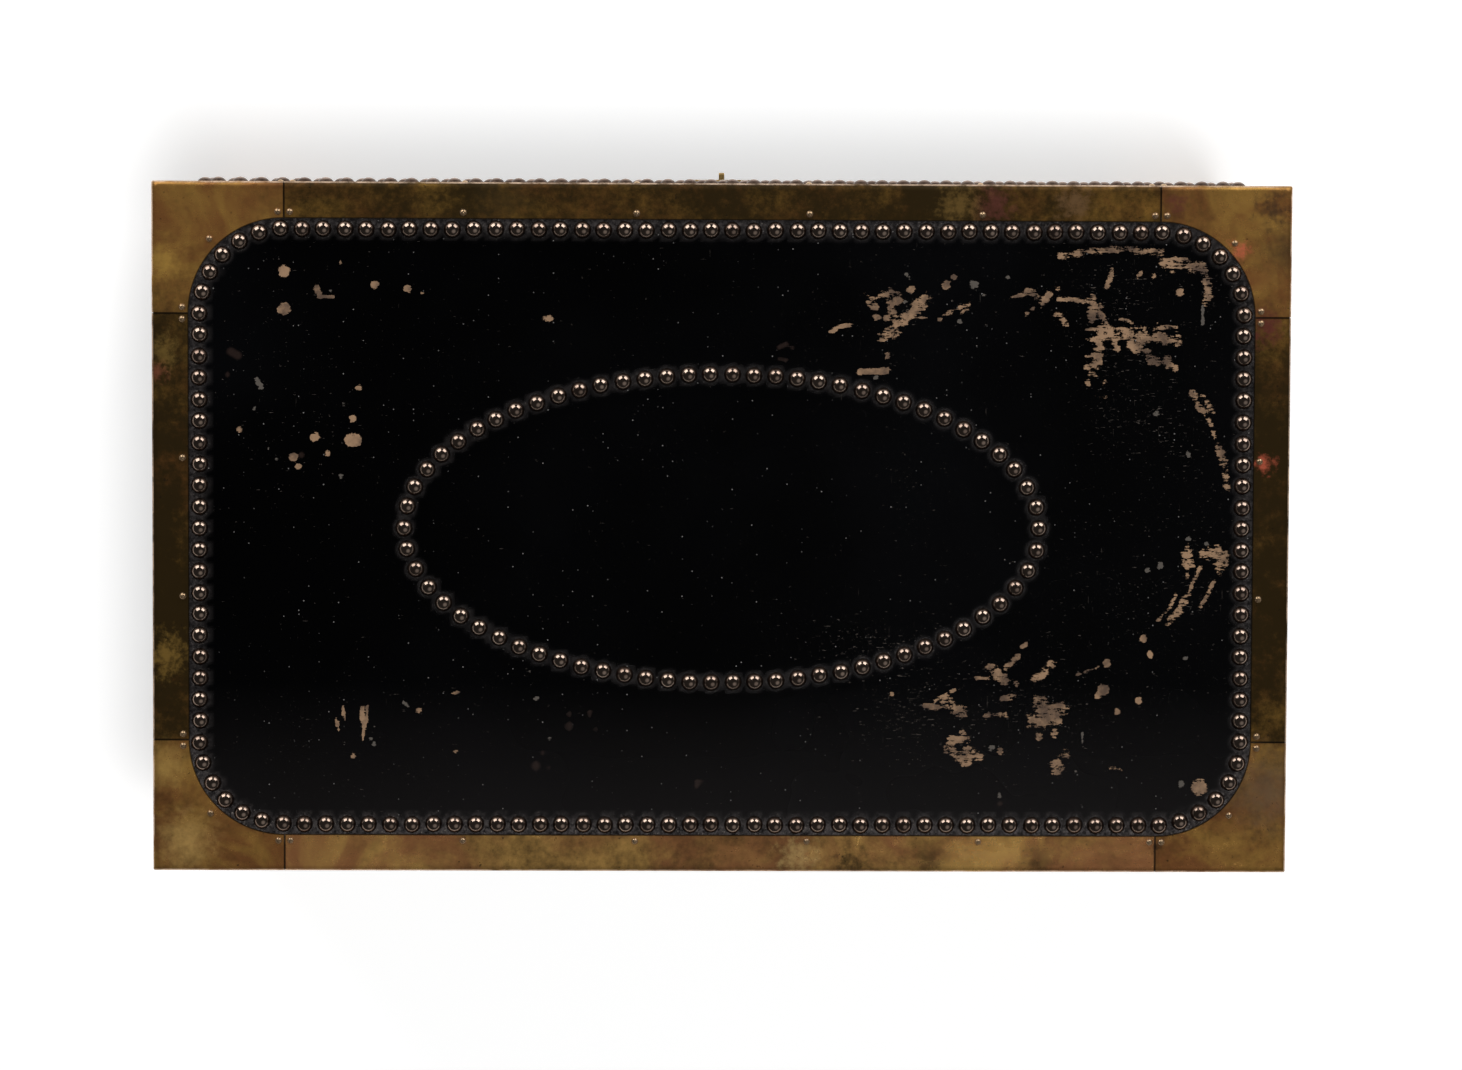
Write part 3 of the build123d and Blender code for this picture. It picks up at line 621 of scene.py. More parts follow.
def turned(axis, angle):
    """Rotation matrices by Rodrigues' formula, one for each axis and angle."""
    zero = np.zeros(len(axis))
    x, y, z = axis.T
    cross = np.stack([zero, -z, y, z, zero, -x, -y, x, zero], -1).reshape(-1, 3, 3)
    angle = angle[:, None, None]
    return np.eye(3) + np.sin(angle) * cross + (1 - np.cos(angle)) * cross @ cross


def lay_nails(name, node, sides, body, seed, polish=1.0):
    """Domes at every nail: point = place + turn (size x dome point), crown = height x polish."""
    hand = np.random.default_rng(seed)
    points, normals = [], []
    for side in sides:
        feet = nail_places(node, side)
        normal = np.array(outward[side], float)
        across = np.array([0, 0, 1.0]) if side != "top" else np.array([1.0, 0, 0])
        basis = np.stack([across, np.cross(normal, across), normal])
        count = len(feet)
        lean = hand.normal(size=(count, 3))
        lean /= np.linalg.norm(lean, axis=1, keepdims=True)
        turn = turned(lean, hand.normal(0, nail_tip / 2, count).clip(-nail_tip, nail_tip))
        size = 1 - nail_size * hand.random((count, 1, 1))
        shift = hand.uniform(-nail_shift, nail_shift, (count, 2)) @ basis[:2]
        matrix = basis.T[None] @ turn
        laid = (dome_points[None] * size) @ matrix.transpose(0, 2, 1)
        points.append(laid + (feet + shift)[:, None])
        normals.append(np.broadcast_to(dome_facing, laid.shape) @ matrix.transpose(0, 2, 1))
    points = np.concatenate(points)
    normals = np.concatenate(normals).reshape(-1, 3)
    count = len(points)
    step = (len(dome_points) * np.arange(count))[:, None, None]
    faces = [(kind[None] + step).reshape(-1, kind.shape[1]).tolist() for kind in dome_faces]
    faces = sum(faces, [])
    mesh = bpy.data.meshes.new(name)
    mesh.from_pydata(points.reshape(-1, 3).tolist(), [], faces)
    mesh.polygons.foreach_set("use_smooth", [True] * len(faces))
    mesh.normals_split_custom_set_from_vertices(normals.tolist())
    tint = np.repeat(hand.random(count), len(dome_points))
    write_layers(mesh, {"tint": tint, "crown": np.tile(dome_crown * polish, count)})
    mesh.materials.append(nail_brass)
    piece = show(name, mesh)
    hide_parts(node)
    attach(piece, body)
    print(name, count, "nails")


# %% Lay every row of nails
four_sides = ("front", "back", "left", "right")
# The side nails carry less of the crown height, so they keep more film and more of the darkened
# lower flank, which is partly painted shade.
side_polish = 0.72
lay_nails("border_domes", "lid_border_nails", ("top",), "lid", 11)
lay_nails("oval_domes", "lid_oval_nails", ("top",), "lid", 12)
lay_nails("lid_side_domes", "lid_side_nails", four_sides, "lid", 13, side_polish)
lay_nails("case_domes", "case_nails", four_sides, "case", 14, side_polish)

# %% [markdown]
# The hide is painted black over a tan skin, and the paint is what ages: it flakes off in
# patches, is scratched in strokes and goes grey with dust beside the nails. Where it has
# gone is the trunk's own history, so the larger places are listed, as marks with a
# name, and written on the mesh as attributes. The shader turns those soft areas into
# crisp flakes by comparing them with fine noise.

# %% Places where the paint has gone
# Each group has a name and its strokes: a half width, then each point's x and y, all in
# picture pixels.
chips = {
    "front left": (
        (5.5, 284, 272), (5.5, 283, 310, 285, 309), (3, 316, 288, 319, 296),
        (1.5, 319, 297, 333, 297), (4, 374, 285), (3.8, 407, 289), (1.8, 421, 293),
        (1.8, 340, 263), (4, 546, 318),
    ),
    "left": (
        (3.2, 358, 388), (3.4, 352, 418), (6.3, 351, 440, 354, 440), (5, 315, 437),
        (4.3, 293, 457), (3.2, 298, 466), (2.8, 239, 430), (2.8, 327, 453),
    ),
    "back left": (
        (2.0, 361, 708, 362, 722), (1.7, 366, 708, 366, 721), (1.2, 363, 724, 362, 740),
        (1.5, 342, 708, 344, 720), (1.8, 335, 720, 338, 730), (3, 352, 757), (3, 418, 710),
        (2.8, 457, 752), (2, 455, 693),
    ),
    "back right": (
        (3.8, 1144, 636), (3.5, 1151, 652), (5.5, 1104, 688), (3, 1098, 694), (3.5, 1139, 699),
        (3.2, 1118, 710), (7.5, 1201, 786), (4, 1107, 661), (2.8, 925, 704, 937, 706),
        (2.5, 892, 692), (2.2, 1022, 645, 1026, 642),
    ),
    "front middle": (
        (4.5, 943, 283), (2.8, 951, 275), (3.8, 908, 287), (3.3, 874, 315), (3.2, 885, 353),
        (3.2, 858, 370, 885, 368), (2.2, 831, 329, 837, 324, 848, 323), (4, 1177, 289),
    ),
}
flakes = {
    "front middle": (
        (1.6, 862, 291, 868, 297, 881, 294), (6, 886, 293, 893, 295), (2.8, 867, 301, 873, 305),
        (3.2, 888, 306, 891, 312, 885, 316), (3, 893, 318, 894, 322, 891, 329),
        (5.5, 891, 329, 881, 334), (5, 902, 317, 911, 310, 916, 303, 922, 297),
        (1.5, 913, 315, 924, 315), (1.7, 936, 317, 951, 308, 966, 301), (1.8, 959, 311, 965, 306),
    ),
    "front right, along the border": (
        (2.8, 1057, 253, 1092, 248, 1122, 246, 1159, 250), (5, 1163, 260, 1178, 260, 1199, 266),
        (3, 1170, 269), (3.5, 1201, 269, 1205, 281, 1206, 292, 1203, 298),
        (2.5, 1109, 266, 1104, 283), (1.6, 1134, 274, 1139, 268), (2, 1151, 273),
    ),
    "front right, upper": (
        (1.4, 1008, 295, 1023, 291), (3, 1025, 288, 1033, 292, 1039, 301, 1046, 291),
        (1.6, 1023, 312, 1030, 305), (2.5, 1049, 311, 1057, 312), (2.6, 1059, 315, 1063, 321),
        (2.6, 1055, 285), (2.0, 1055, 296, 1082, 298, 1090, 294), (3.8, 1089, 296, 1089, 315),
        (3.2, 1096, 304, 1100, 317),
    ),
    "front right, crossed": (
        (5, 1100, 323, 1101, 333), (4.5, 1103, 329, 1125, 332, 1149, 333),
        (1.6, 1117, 325, 1174, 324), (5, 1151, 333, 1174, 337),
        (4.2, 1098, 334, 1095, 354, 1090, 369), (3, 1086, 380), (2.5, 1103, 380),
        (1.4, 1092, 394, 1105, 394), (3, 1111, 338, 1115, 346),
        (3.5, 1126, 336, 1134, 348, 1140, 338), (3.4, 1145, 348, 1146, 357, 1162, 359, 1172, 365),
        (3, 1166, 354), (1.5, 1118, 315, 1132, 320), (1.6, 1155, 319), (1.6, 1084, 326, 1098, 325),
        (1.6, 1083, 335, 1096, 338), (1.6, 1084, 353, 1096, 351), (1.8, 1083, 364, 1096, 366),
    ),
    "right, upper arc": (
        (3, 1190, 389, 1199, 406, 1204, 410), (2, 1201, 392, 1212, 410), (2, 1207, 416, 1213, 434),
        (3.6, 1218, 444, 1223, 459), (2.6, 1224, 465, 1226, 486),
    ),
    "right, lower rub": (
        (4.5, 1187, 550, 1188, 562), (2.2, 1187, 542, 1187, 573),
        (5.5, 1206, 550, 1217, 549, 1225, 554, 1220, 566), (1.7, 1214, 578, 1208, 592, 1201, 603),
        (1.7, 1200, 564, 1190, 587), (3.2, 1188, 591, 1180, 607, 1167, 622),
        (1.6, 1176, 592, 1170, 604, 1158, 619),
    ),
    "back right": (
        (4.5, 990, 666, 999, 673, 1005, 679), (2.3, 1006, 666, 1019, 654),
        (1.6, 976, 676, 989, 676), (3.2, 1016, 682), (2.5, 1003, 698, 1014, 695),
        (3.6, 1035, 678, 1046, 669, 1052, 662), (1.3, 935, 699, 955, 688),
        (5, 946, 701, 955, 706, 962, 710), (2.8, 987, 715, 996, 712, 1006, 714),
        (6, 1040, 701, 1047, 710, 1062, 706), (7, 1036, 719, 1053, 719), (3, 1040, 735),
        (3.5, 1055, 732), (4.5, 948, 747, 955, 738, 966, 738), (4.5, 950, 749, 966, 761),
        (4, 966, 749, 980, 756), (3, 962, 732), (3.2, 1001, 750), (4.5, 1057, 763, 1059, 769),
        (4, 1066, 753), (1.8, 1109, 765, 1122, 769), (1.2, 1077, 673, 1099, 665),
    ),
}
greyed = {
    "left": (
        (2.8, 256, 380, 261, 388), (2.2, 254, 409), (2.5, 343, 405), (2.0, 268, 449),
        (2.0, 276, 459), (2.8, 340, 476), (2, 330, 291), (1.8, 233, 295),
    ),
    "back left": (
        (2.5, 373, 745), (2, 370, 739), (1.8, 343, 744), (1.6, 374, 726), (2.6, 536, 698),
        (2.2, 530, 672), (2.4, 549, 739), (1.2, 402, 702, 408, 707), (1.8, 606, 775),
    ),
    "front": (
        (1.8, 903, 272, 907, 277), (2.0, 902, 300), (5, 971, 283), (2.4, 981, 292),
        (2.6, 957, 319), (3, 874, 375), (2.5, 1005, 275), (1.2, 1200, 302, 1200, 321),
    ),
    "right": (
        (3.5, 1154, 410), (3, 1188, 535), (3, 1206, 540), (4, 1160, 563), (3, 1147, 568),
        (3, 1187, 451), (2.5, 1186, 656), (4, 1183, 783), (3.5, 992, 747),
        (1.5, 1083, 732, 1084, 744), (3, 1001, 795), (2, 1077, 771),
    ),
}
faint = {
    "back left": (
        (3.2, 567, 714), (4.5, 568, 726), (1.6, 589, 711, 592, 722), (3, 593, 729),
        (2.5, 541, 753), (5, 535, 766), (3, 546, 768),
    ),
    "front": ((2.2, 776, 346, 783, 342, 789, 346), (2.0, 786, 359, 778, 357)),
    "left": ((4, 231, 352, 238, 356), (3, 227, 375), (3, 301, 455)),
    "back": ((2, 694, 781, 698, 788, 701, 781, 694, 781), (3, 1001, 803), (2.5, 700, 702)),
}
# Each scuffed area is a name, a centre, a reach and an amount, in picture pixels.
scuffed_areas = (
    ("front left", (330, 330), (130, 90), 0.15),
    ("left", (300, 440), (110, 70), 0.20),
    ("back left", (390, 720), (130, 70), 0.22),
    ("front middle", (900, 310), (90, 60), 0.30),
    ("under the crossed flakes", (1135, 420), (55, 50), 0.62),
    ("beside the crossed flakes", (1110, 350), (50, 45), 0.45),
    ("front right corner", (1120, 280), (110, 50), 0.45),
    ("right edge", (1205, 480), (35, 170), 0.35),
    ("right of the oval", (1120, 580), (90, 60), 0.40),
    ("inside the oval, right", (910, 500), (40, 110), 0.38),
    ("below the oval", (850, 640), (70, 25), 0.50),
    ("back middle", (900, 710), (60, 60), 0.55),
    ("back right", (1040, 710), (150, 80), 0.42),
)
print(sum(len(g) for kind in (chips, flakes, greyed, faint) for g in kind.values()), "worn places")

# %% [markdown]
# The lid's hide is one sheet, drawn tight and nailed down, so it is flat but not dead flat: it
# dips beside each nail and ripples slightly between them. One grid carries both the ripples
# and the wear, with lines 1.5 mm apart where the paint is worn and 4.5 mm elsewhere. Every
# value is worked out for all grid points at once.

# %% Work out the lid's hide
worn_columns = (228, 430, 850, 1236)
worn_rows = (240, 480, 535, 800)
fine_step = 1.50 * mm
coarse_step = 4.5 * mm
ripple_height = 0.10 * mm
dimple_depth = 0.30 * mm
dimple_reach = 9.0 * mm
rim_reach = 1.3 * mm
crust_start = 2 * mm
crust_reach = 9 * mm
crust_from_nail = 11 * mm
back_painted_sheen = 0.19


def stroke_distance(points, stroke):
    """Distance from each point to a stroke: to the nearest place on any of its segments."""
    stroke = from_picture(np.reshape(stroke, (-1, 2)))
    starts, ends = (stroke, stroke) if len(stroke) == 1 else (stroke[:-1], stroke[1:])
    along = ends - starts
    length = np.maximum((along**2).sum(-1), 1e-12)
    t = np.clip(((points[:, None] - starts) * along).sum(-1) / length, 0, 1)
    return np.linalg.norm(points[:, None] - starts - t[..., None] * along, axis=-1).min(1)


def wear_field(points, groups, power, slope=0.35, most=1.0):
    """The largest over all strokes of 1 - slope (distance / half width)^power, up to a most."""
    field = np.zeros(len(points))
    for half, *stroke in (mark for group in groups.values() for mark in group):
        away = stroke_distance(points, stroke) / (max(half, 1.5) * pixel)
        field = np.maximum(field, 1 - slope * away**power)
    return field.clip(0, most)


def scuffing(points):
    """Sum over the areas of amount x exp(-squared distance in reaches), up to 1."""
    total = np.full(len(points), 0.04)
    for _, centre, reach, amount in scuffed_areas:
        away = (points - from_picture([centre])) / (np.array(reach) * pixel)
        total += amount * np.exp(-(away**2).sum(-1))
    return np.clip(total, 0, 1)


def lines(limit, bands):
    """Grid lines from -limit to limit: equal steps of the integral of 1 / step, finer in bands."""
    x = np.linspace(-limit, limit, 4001)
    inside = np.max([(x > low) & (x < high) for low, high in bands], axis=0)
    density = np.where(inside, 1 / fine_step, 1 / coarse_step)
    total = np.concatenate([[0], np.cumsum((density[1:] + density[:-1]) / 2 * np.diff(x))])
    return np.interp(np.linspace(0, total[-1], int(total[-1]) + 1), total, x)


def nearest(points, places, chunk=4000):
    """Distance from each point to the nearest of some places, a few thousand points at a time."""
    parts = np.array_split(points, len(points) // chunk + 1)
    return np.concatenate([np.linalg.norm(p[:, None] - places, axis=-1).min(1) for p in parts])


def brass_gap(points):
    """Distance inside the brass's window, a rectangle with rounded corners."""
    past = np.abs(points) - window_inner
    outside = np.linalg.norm(past.clip(0), axis=-1)
    return (corner_radius - outside - past.max(-1).clip(None, 0)).clip(0)


def grime(points, gap):
    """Rings at the nails' rims + crust between nails and brass + a painted sheen towards the back.
    """
    rims = 0.45 * np.exp(-(((gap - nail_radius).clip(0) / rim_reach) ** 2))
    crust = np.clip(1 - (brass_gap(points) - crust_start) / crust_reach, 0, 1)
    crust = crust * np.exp(-((gap / crust_from_nail) ** 2))
    crust = crust * np.where(points[:, 1] > seam_y, 1.25, 0.75)
    # The last term is a painted sheen: the hide is painted lighter towards the lid's back edge.
    return rims + crust + back_painted_sheen * np.clip(points[:, 1] / half_depth - 0.45, 0, 0.4) / 0.4


def ripples(points, seed, waves=14):
    """Sum of sines with random directions and wavelengths of 35 to 140 mm, between -1 and 1."""
    hand = np.random.default_rng(seed)
    turn = hand.uniform(0, np.pi, waves)
    number = 2 * np.pi / hand.uniform(35 * mm, 140 * mm, waves)
    phase = hand.uniform(0, 2 * np.pi, waves)
    direction = np.stack([np.cos(turn), np.sin(turn)])
    return np.sin(points @ direction * number + phase).sum(1) / waves


# %% Make the lid's hide
def make_lid_hide():
    """A closed slab: a rippled grid on top, straight edges, and one flat face beneath."""
    worn_x, worn_y = from_picture(np.column_stack([worn_columns, worn_rows])).T
    x = lines(hide_half_width, worn_x.reshape(2, 2)[:, ::-1])
    y = lines(hide_half_depth, worn_y.reshape(2, 2))
    columns, rows = len(x), len(y)
    grid = np.stack(np.meshgrid(x, y), -1).reshape(-1, 2)
    nails = np.concatenate([nail_places(n, "top") for n in ("lid_border_nails", "lid_oval_nails")])
    gap = nearest(grid, nails[:, :2])
    dimple = dimple_depth * np.exp(-((gap / dimple_reach) ** 2))
    ripple = ripple_height * (ripples(grid, 5) - 1)
    window_half = np.array([half_width, half_depth]) - binding_leg
    under_brass = (np.abs(grid) / window_half).max(-1)
    height = hide_top + np.where(under_brass < 1, ripple, -ripple_height) - dimple
    top = np.column_stack([grid, height])
    index = np.arange(rows * columns).reshape(rows, columns)
    around = np.concatenate([index[0], index[1:, -1], index[-1, -2::-1], index[-2:0:-1, 0]])
    bottom = top[around] * [1, 1, 0] + [0, 0, hide_low[2]]
    quads = np.stack([index[:-1, :-1], index[:-1, 1:], index[1:, 1:], index[1:, :-1]], -1)
    edge = len(top) + np.arange(len(around))
    skirt = np.stack([np.roll(around, -1), around, edge, np.roll(edge, -1)], -1)
    quads = quads.reshape(-1, 4)
    faces = quads.tolist() + skirt.tolist() + [edge[::-1].tolist()]
    mesh = bpy.data.meshes.new("lid_hide")
    mesh.from_pydata(np.vstack([top, bottom]).tolist(), [], faces)
    mesh.polygons.foreach_set("use_smooth", [True] * len(quads) + [False] * (len(edge) + 1))
    layers = {
        "bare": np.maximum(wear_field(grid, chips, 3.0), wear_field(grid, flakes, 1.0, 0.45, 0.66)),
        "greyed": wear_field(grid, greyed, 1.5, 0.5),
        "faint": wear_field(grid, faint, 1.5),
        "scuff": scuffing(grid),
        # The grime layer holds dust and, towards the back, a painted sheen.
        "grime": grime(grid, gap),
    }
    below = np.zeros(len(bottom))
    write_layers(mesh, {name: np.append(values, below) for name, values in layers.items()})
    print("lid hide", columns, "by", rows, "points,", 2 * len(quads), "triangles")
    return mesh


lid_hide_mesh = make_lid_hide()

# %% [markdown]
# The paint itself is nearly black with a dull shine. Under it the skin is tan, darker where
# hands have greased it. A flake is where fine noise and the bareness that the mesh carries add
# up to enough, which gives ragged edges at any distance. The lid reads its wear from the mesh,
# and the sides, which no picture shows, take theirs from noise that grows towards the floor.

# %% Shared effect: painted hide
wear_kinds = ("Bare", "Greyed", "Faint", "Scuff", "Grime")


def pushed(push, factor, field, low, high, to_high=1.0):
    """A smooth step, from low to high, of field + factor x push."""
    return fade(times_plus(push, factor, field), low, high, 0.0, to_high)


def make_paint_wear():
    """Flaked = 0.9 bare + stretched noise over a limit; scratches = streaks over a limit."""
    tree, given, put = new_group("Paint wear", {kind: 0.0 for kind in wear_kinds})
    place, scuff, grime = given["Vector"], given["Scuff"], given["Grime"]
    ragged = fade(noise(place, 200.0, 8.0, 0.70), 0.34, 0.66, 0.0, 0.34)
    along = stretched(place, (1.0, 5.0, 5.0), 0.0, 1.0)
    brushed = fade(noise(along, 130.0, 5.0, 0.65), 0.34, 0.66, 0.0, 0.34)
    broken = maths("ADD", ragged, brushed)
    flaked = pushed(given["Bare"], 0.9, broken, 0.84, 0.88)
    dull = pushed(given["Greyed"], 0.9, broken, 0.86, 0.94)
    rubbed = fade(given["Faint"], 0.45, 0.90)

    fine = noise(stretched(place, (1.0, 2.0, 1.5)), 420.0, 3.0, 0.6)
    specks = pushed(scuff, 0.10, fine, 0.735, 0.760)
    dashes = noise(stretched(place, (1, 7, 3)), 170.0, 3.0, 0.6)
    dashed = pushed(scuff, 0.12, dashes, 0.745, 0.775)
    streaks = noise(stretched(place, (24.0, 1.0, 1.0), 0.06, 3.0), 38.0, 4.0, 0.7)
    lined = pushed(scuff, 0.10, streaks, 0.735, 0.76, 0.5)
    marks = maths("MAXIMUM", maths("MAXIMUM", specks, dashed), lined)
    grit = join("TexVoronoi", {"Vector": place, "Scale": 300.0}).outputs
    chance = join("SeparateColor", {0: grit["Color"]}).outputs[0]
    kept = fade(chance, 0.86, 1.0)
    gritty = times(fade(grit["Distance"], 0.16, 0.08), kept)

    haze = fade(noise(place, 5.0, 3.0, 0.5), 0.35, 0.75)
    paint = mix(haze, (0.0003, 0.0003, 0.0004), (0.0013, 0.0014, 0.0018))
    for amount, strength, tone in (
        (marks, 0.55, (0.13, 0.11, 0.095)),
        (gritty, 0.7, (0.26, 0.25, 0.24)),
        (dull, 0.7, (0.12, 0.105, 0.090)),
        (rubbed, 0.6, (0.026, 0.016, 0.013)),
    ):
        paint = mix(times(amount, strength), paint, tone)
    clean = fade(noise(place, 45.0, 5.0, 0.65), 0.36, 0.62)
    skin = mix(clean, (0.085, 0.056, 0.040), (0.285, 0.178, 0.106))
    worn = mix(flaked, paint, skin)

    # The grime layer's smooth part: a dust film by the nails, and towards the back a painted sheen.
    film = maths("MINIMUM", grime, 0.19)
    clotted = fade(noise(place, 420.0, 5.0, 0.7), 0.34, 0.66)
    crust = times(maths("SUBTRACT", grime, film), clotted)
    dusty = mix(times_plus(film, 0.5, crust), worn, (0.060, 0.053, 0.052))
    sand = fade(noise(place, 620.0, 4.0, 0.7), 0.58, 0.68)
    sandy = times(sand, times(crust, 0.8))
    sanded = mix(sandy, dusty, (0.24, 0.21, 0.18))

    matt = maths("MAXIMUM", flaked, dull)
    rough = maths("ADD", times_plus(matt, 0.42, times(haze, 0.08)), 0.25)
    grain = noise(place, 900.0, 3.0, 0.6)
    relief = times_plus(grain, 0.25, maths("SUBTRACT", 1.0, flaked))
    drive(put, Color=sanded, Rough=rough, Height=relief)
    return tree


paint_wear = make_paint_wear()
print("group", paint_wear.name)

# %% Hide finishes
def finish_hide(shader, place, wear):
    """Joins the worn paint to the shader, with pores and a low shine."""
    pores = noise(place, 60.0, 4.0, 0.6)
    normal = bumped((pores, 0.12 * mm), (wear["Height"], 0.10 * mm))
    drive(shader, Base_Color=wear["Color"], Roughness=wear["Rough"], Normal=normal)
    drive(shader, Specular_IOR_Level=0.12)


def make_lid_hide_finish():
    """The lid's hide, worn where its mesh says."""
    made, shader, place = new_material("painted_hide_lid")
    layers = {kind: attribute(shader, kind.lower()) for kind in wear_kinds}
    finish_hide(shader, place, use_group(paint_wear, place, **layers))
    return made


def make_side_hide_finish():
    """The sides' hide, worn by noise and most of all in its lower half."""
    made, shader, place = new_material("painted_hide_sides")
    low = fade(axes_of(place)["Z"], trunk_top, 0.0, 0.0, 0.16)
    patches = fade(noise(place, 34.0, 5.0, 0.6), 0.50, 0.70, 0.0, 0.70)
    regions = fade(noise(place, 6.0, 3.0, 0.5), 0.38, 0.56)
    wear = use_group(
        paint_wear,
        place,
        Bare=times(maths("ADD", patches, low), regions),
        Greyed=0.38,
        Scuff=fade(noise(place, 7.0, 3.0, 0.5), 0.40, 0.72, 0.05, 0.75),
        Grime=use_group(corner_dust, place, Reach=4 * mm, Amount=0.9)["Dust"],
    )
    finish_hide(shader, place, wear)
    return made


lid_hide_finish = make_lid_hide_finish()
side_hide_finish = make_side_hide_finish()
lid_hide_mesh.materials.append(lid_hide_finish)
lid_hide = show("lid_hide", lid_hide_mesh)
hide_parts("lid_top_hide")
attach(lid_hide, "lid")
print("materials", lid_hide_finish.name, side_hide_finish.name)

# %% [markdown]
# Inside, the boards are bare camphor wood, reddish brown and gone dull. Its grain is noise
# drawn out along the board: along X on the long boards, the lid and the bottom, and along Y on
# the end boards, so the same group is placed twice with its coordinates turned.

# %% Shared effect: wood grain
def make_wood_grain():
    """Rings = a wave bent by noise, fibres = fine noise, both drawn out along local X."""
    tree, given, put = new_group("Wood grain", {})
    place = given["Vector"]
    drawn = stretched(place, (0.10, 1.0, 1.0))
    rings = join("TexWave", {"Vector": drawn, "Scale": 14.0}, bands_direction="Y")
    drive(rings, Distortion=9.0, Detail=3.0, Detail_Scale=1.4)
    fibres = noise(stretched(place, (0.03, 1.0, 1.0)), 620.0, 4.0, 0.6)
    figure = times_plus(fibres, 0.65, times(rings.outputs["Fac"], 0.36))
    early = (0.34, 0.185, 0.085)
    late = (0.13, 0.058, 0.024)
    grain = mix(fade(figure, 0.15, 0.85), late, early)
    stain = fade(noise(place, 6.0, 4.0, 0.6), 0.45, 0.75, 0.0, 0.55)
    grain = mix(stain, grain, (0.075, 0.038, 0.018))
    rough = fade(figure, 0.0, 1.0, 0.62, 0.45)
    drive(put, Color=grain, Rough=rough, Height=figure)
    return tree


wood_grain = make_wood_grain()


def make_camphor(name, turn):
    """Camphor wood whose grain runs along X, or along Y when it is turned a quarter."""
    made, shader, place = new_material(name)
    grain = use_group(wood_grain, stretched(place, (1, 1, 1), turn))
    normal = bumped((grain["Height"], 0.15 * mm))
    drive(shader, Base_Color=grain["Color"], Roughness=grain["Rough"], Normal=normal)
    return made


camphor_long = make_camphor("camphor_wood_long", 0.0)
camphor_end = make_camphor("camphor_wood_end", np.pi / 2)
print("materials", camphor_long.name, camphor_end.name)

# %% [markdown]
# Every imported part keeps its own mesh and takes the finish that the record's material slot asks
# for. The end boards need a second look, because their grain runs the other way, and so do the
# brass corners, which are rubbed brighter than the other strips, and the lid's back strip, which
# is painted lighter, a painted highlight for the light that falls on the lid's back edge.

# %% Dress the imported parts
finishes = {
    "camphor_wood": camphor_long,
    "painted_hide": side_hide_finish,
    "sheet_brass": sheet_strips,
    "nail_brass": nail_brass,
    "pin_brass": pin_brass,
    "fitting_brass": fitting_brass,
    "screw_brass": screw_brass,
}
end_boards = ("case_left_board", "case_right_board", "lid_left_rail", "lid_right_rail")


def finish_of(node):
    """The slot's finish, but for the end boards, the brass corners and the lid's back strip."""
    if node in end_boards:
        return camphor_end
    if "corner" in node or "cap" in node:
        return sheet_corners
    return sheet_back_painted_lit if node == "lid_top_edge_back" else finishes[slot_of[node]]


slot_of = {part["node"]: part["material_slot"] for part in frame["record"]["subparts"]}
for node, part in frame["nodes"].items():
    part.data.materials.clear()
    part.data.materials.append(finish_of(node))
print("dressed", len(frame["nodes"]), "parts")

# %% [markdown]
# The studio is a white floor under three lamps. Two wide, low soft boxes stand ahead of the
# trunk, left and right: in a dome they show as two slanting strips, which is how the nails read
# as domes. A soft lamp almost overhead lights the colours and drops the shadow on the floor. It
# is kept out of reflections, or it would fill the black paint with glare.

# %% Floor
floor_half = 14.0
floor_glow = 0.42


def make_floor():
    """A flat square, seen as white where it is lit and grey in the trunk's shadow."""
    corners = floor_half * np.array([(-1, -1, 0), (1, -1, 0), (1, 1, 0), (-1, 1, 0)], float)
    mesh = bpy.data.meshes.new("floor")
    mesh.from_pydata(corners.tolist(), [], [(0, 1, 2, 3)])
    made, shader, _ = new_material("white_floor")
    rays = add(shader.id_data, "LightPath").outputs
    seen = maths("MAXIMUM", rays["Is Camera Ray"], rays["Is Glossy Ray"])
    drive(shader, Base_Color=(0.86, 0.86, 0.86), Roughness=0.9)
    drive(shader, Emission_Color=(1, 1, 1))
    drive(shader, Emission_Strength=times(seen, floor_glow))
    mesh.materials.append(made)
    floor = show("floor", mesh)
    print("floor", 2 * floor_half, "m square")


make_floor()

# %% Sky
glow_towards = (-0.34, 0.40, 0.85)
horizon_level = 0.75
zenith_level = 0.028
glow_level = 0.22


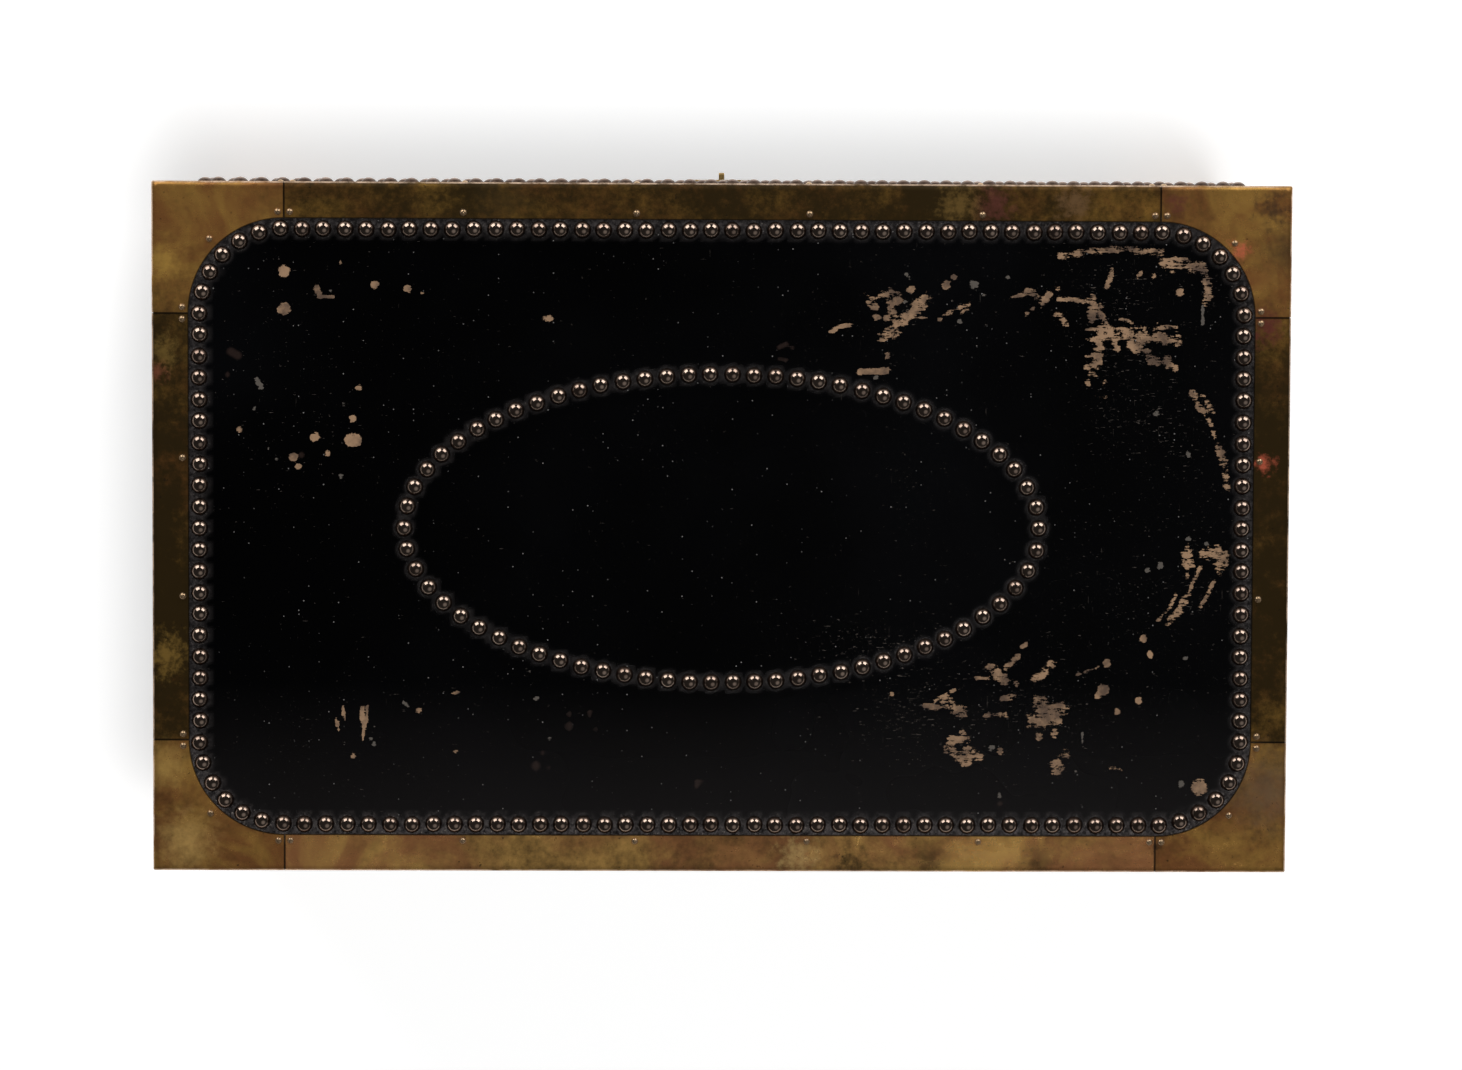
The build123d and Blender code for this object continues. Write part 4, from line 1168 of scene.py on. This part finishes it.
def make_sky():
    """Dim overhead, bright at the horizon, a soft glow to one side, and white to the camera."""
    world = bpy.data.worlds.new("studio")
    bpy.context.scene.world = world
    world.use_nodes = True
    tree = world.node_tree
    direction = add(tree, "TexCoord").outputs["Generated"]
    up = axes_of(direction)["Z"]
    horizon = fade(up, 0.02, 0.20, horizon_level, zenith_level)
    towards = vectors("DOT_PRODUCT", direction, glow_towards)[1]
    glow = fade(towards, 0.84, 1.0, 0.0, glow_level)
    seen = add(tree, "LightPath").outputs["Is Camera Ray"]
    level = maths("MAXIMUM", maths("ADD", horizon, glow), seen)
    grey = join("CombineColor", {0: level, 1: level, 2: level}).outputs[0]
    drive(tree.nodes["Background"], Color=grey, Strength=1.0)
    print("sky", world.name)


make_sky()

# %% Soft boxes
box_place = np.array([1.17, -1.73, 1.30])
box_size = (1.50, 1.35)
box_power = 15.5
overhead_place = (-0.30, 0.50, 4.3)
overhead_size = (1.1, 1.1)
overhead_power = 118.0


def soft_box(name, place, size, power):
    """A rectangular lamp at a place, turned to face the lid, and not seen by the camera."""
    lamp = bpy.data.lights.new(name, "AREA")
    lamp.shape = "RECTANGLE"
    lamp.size, lamp.size_y = size
    lamp.energy = power
    made = show(name, lamp)
    made.location = place
    towards = Vector((0, 0, trunk_top)) - Vector(place)
    made.rotation_euler = towards.to_track_quat("-Z", "Y").to_euler()
    made.visible_camera = False
    return made


soft_box("box_at_picture_left", box_place, box_size, box_power)
soft_box("box_at_picture_right", box_place * [-1, 1, 1], box_size, box_power)
overhead = soft_box("overhead", overhead_place, overhead_size, overhead_power)
overhead.visible_glossy = False
print("three soft boxes")

# %% [markdown]
# The reference was taken from straight above with a long lens, a hand's breadth inside the
# front edge, so the front row of nails just shows beyond the lid. The place and the small
# turns were found by matching the lid's four corners.

# %% Camera
image_width = 1462
focal_pixels = 3885.6
sensor_width = 36.0
camera_place = (27.3 * mm, 80 * mm - half_depth, trunk_top + 2.6)
camera_turn = (-2.934, -0.941, 180.256)
camera_shift = (-0.0102, -0.0224)


def make_camera():
    """A long lens looking down, with the trunk's front at the top of the picture."""
    data = bpy.data.cameras.new("camera")
    data.sensor_width = sensor_width
    data.lens = focal_pixels * sensor_width / image_width
    data.shift_x, data.shift_y = camera_shift
    camera = show("camera", data)
    camera.location = camera_place
    camera.rotation_euler = np.radians(camera_turn)
    bpy.context.scene.camera = camera
    print("camera lens", round(data.lens, 1), "mm at", [round(c, 3) for c in camera.location])


make_camera()
bpy.context.scene.view_settings.view_transform = "Standard"

# %% [markdown]

# %% Import json
import json
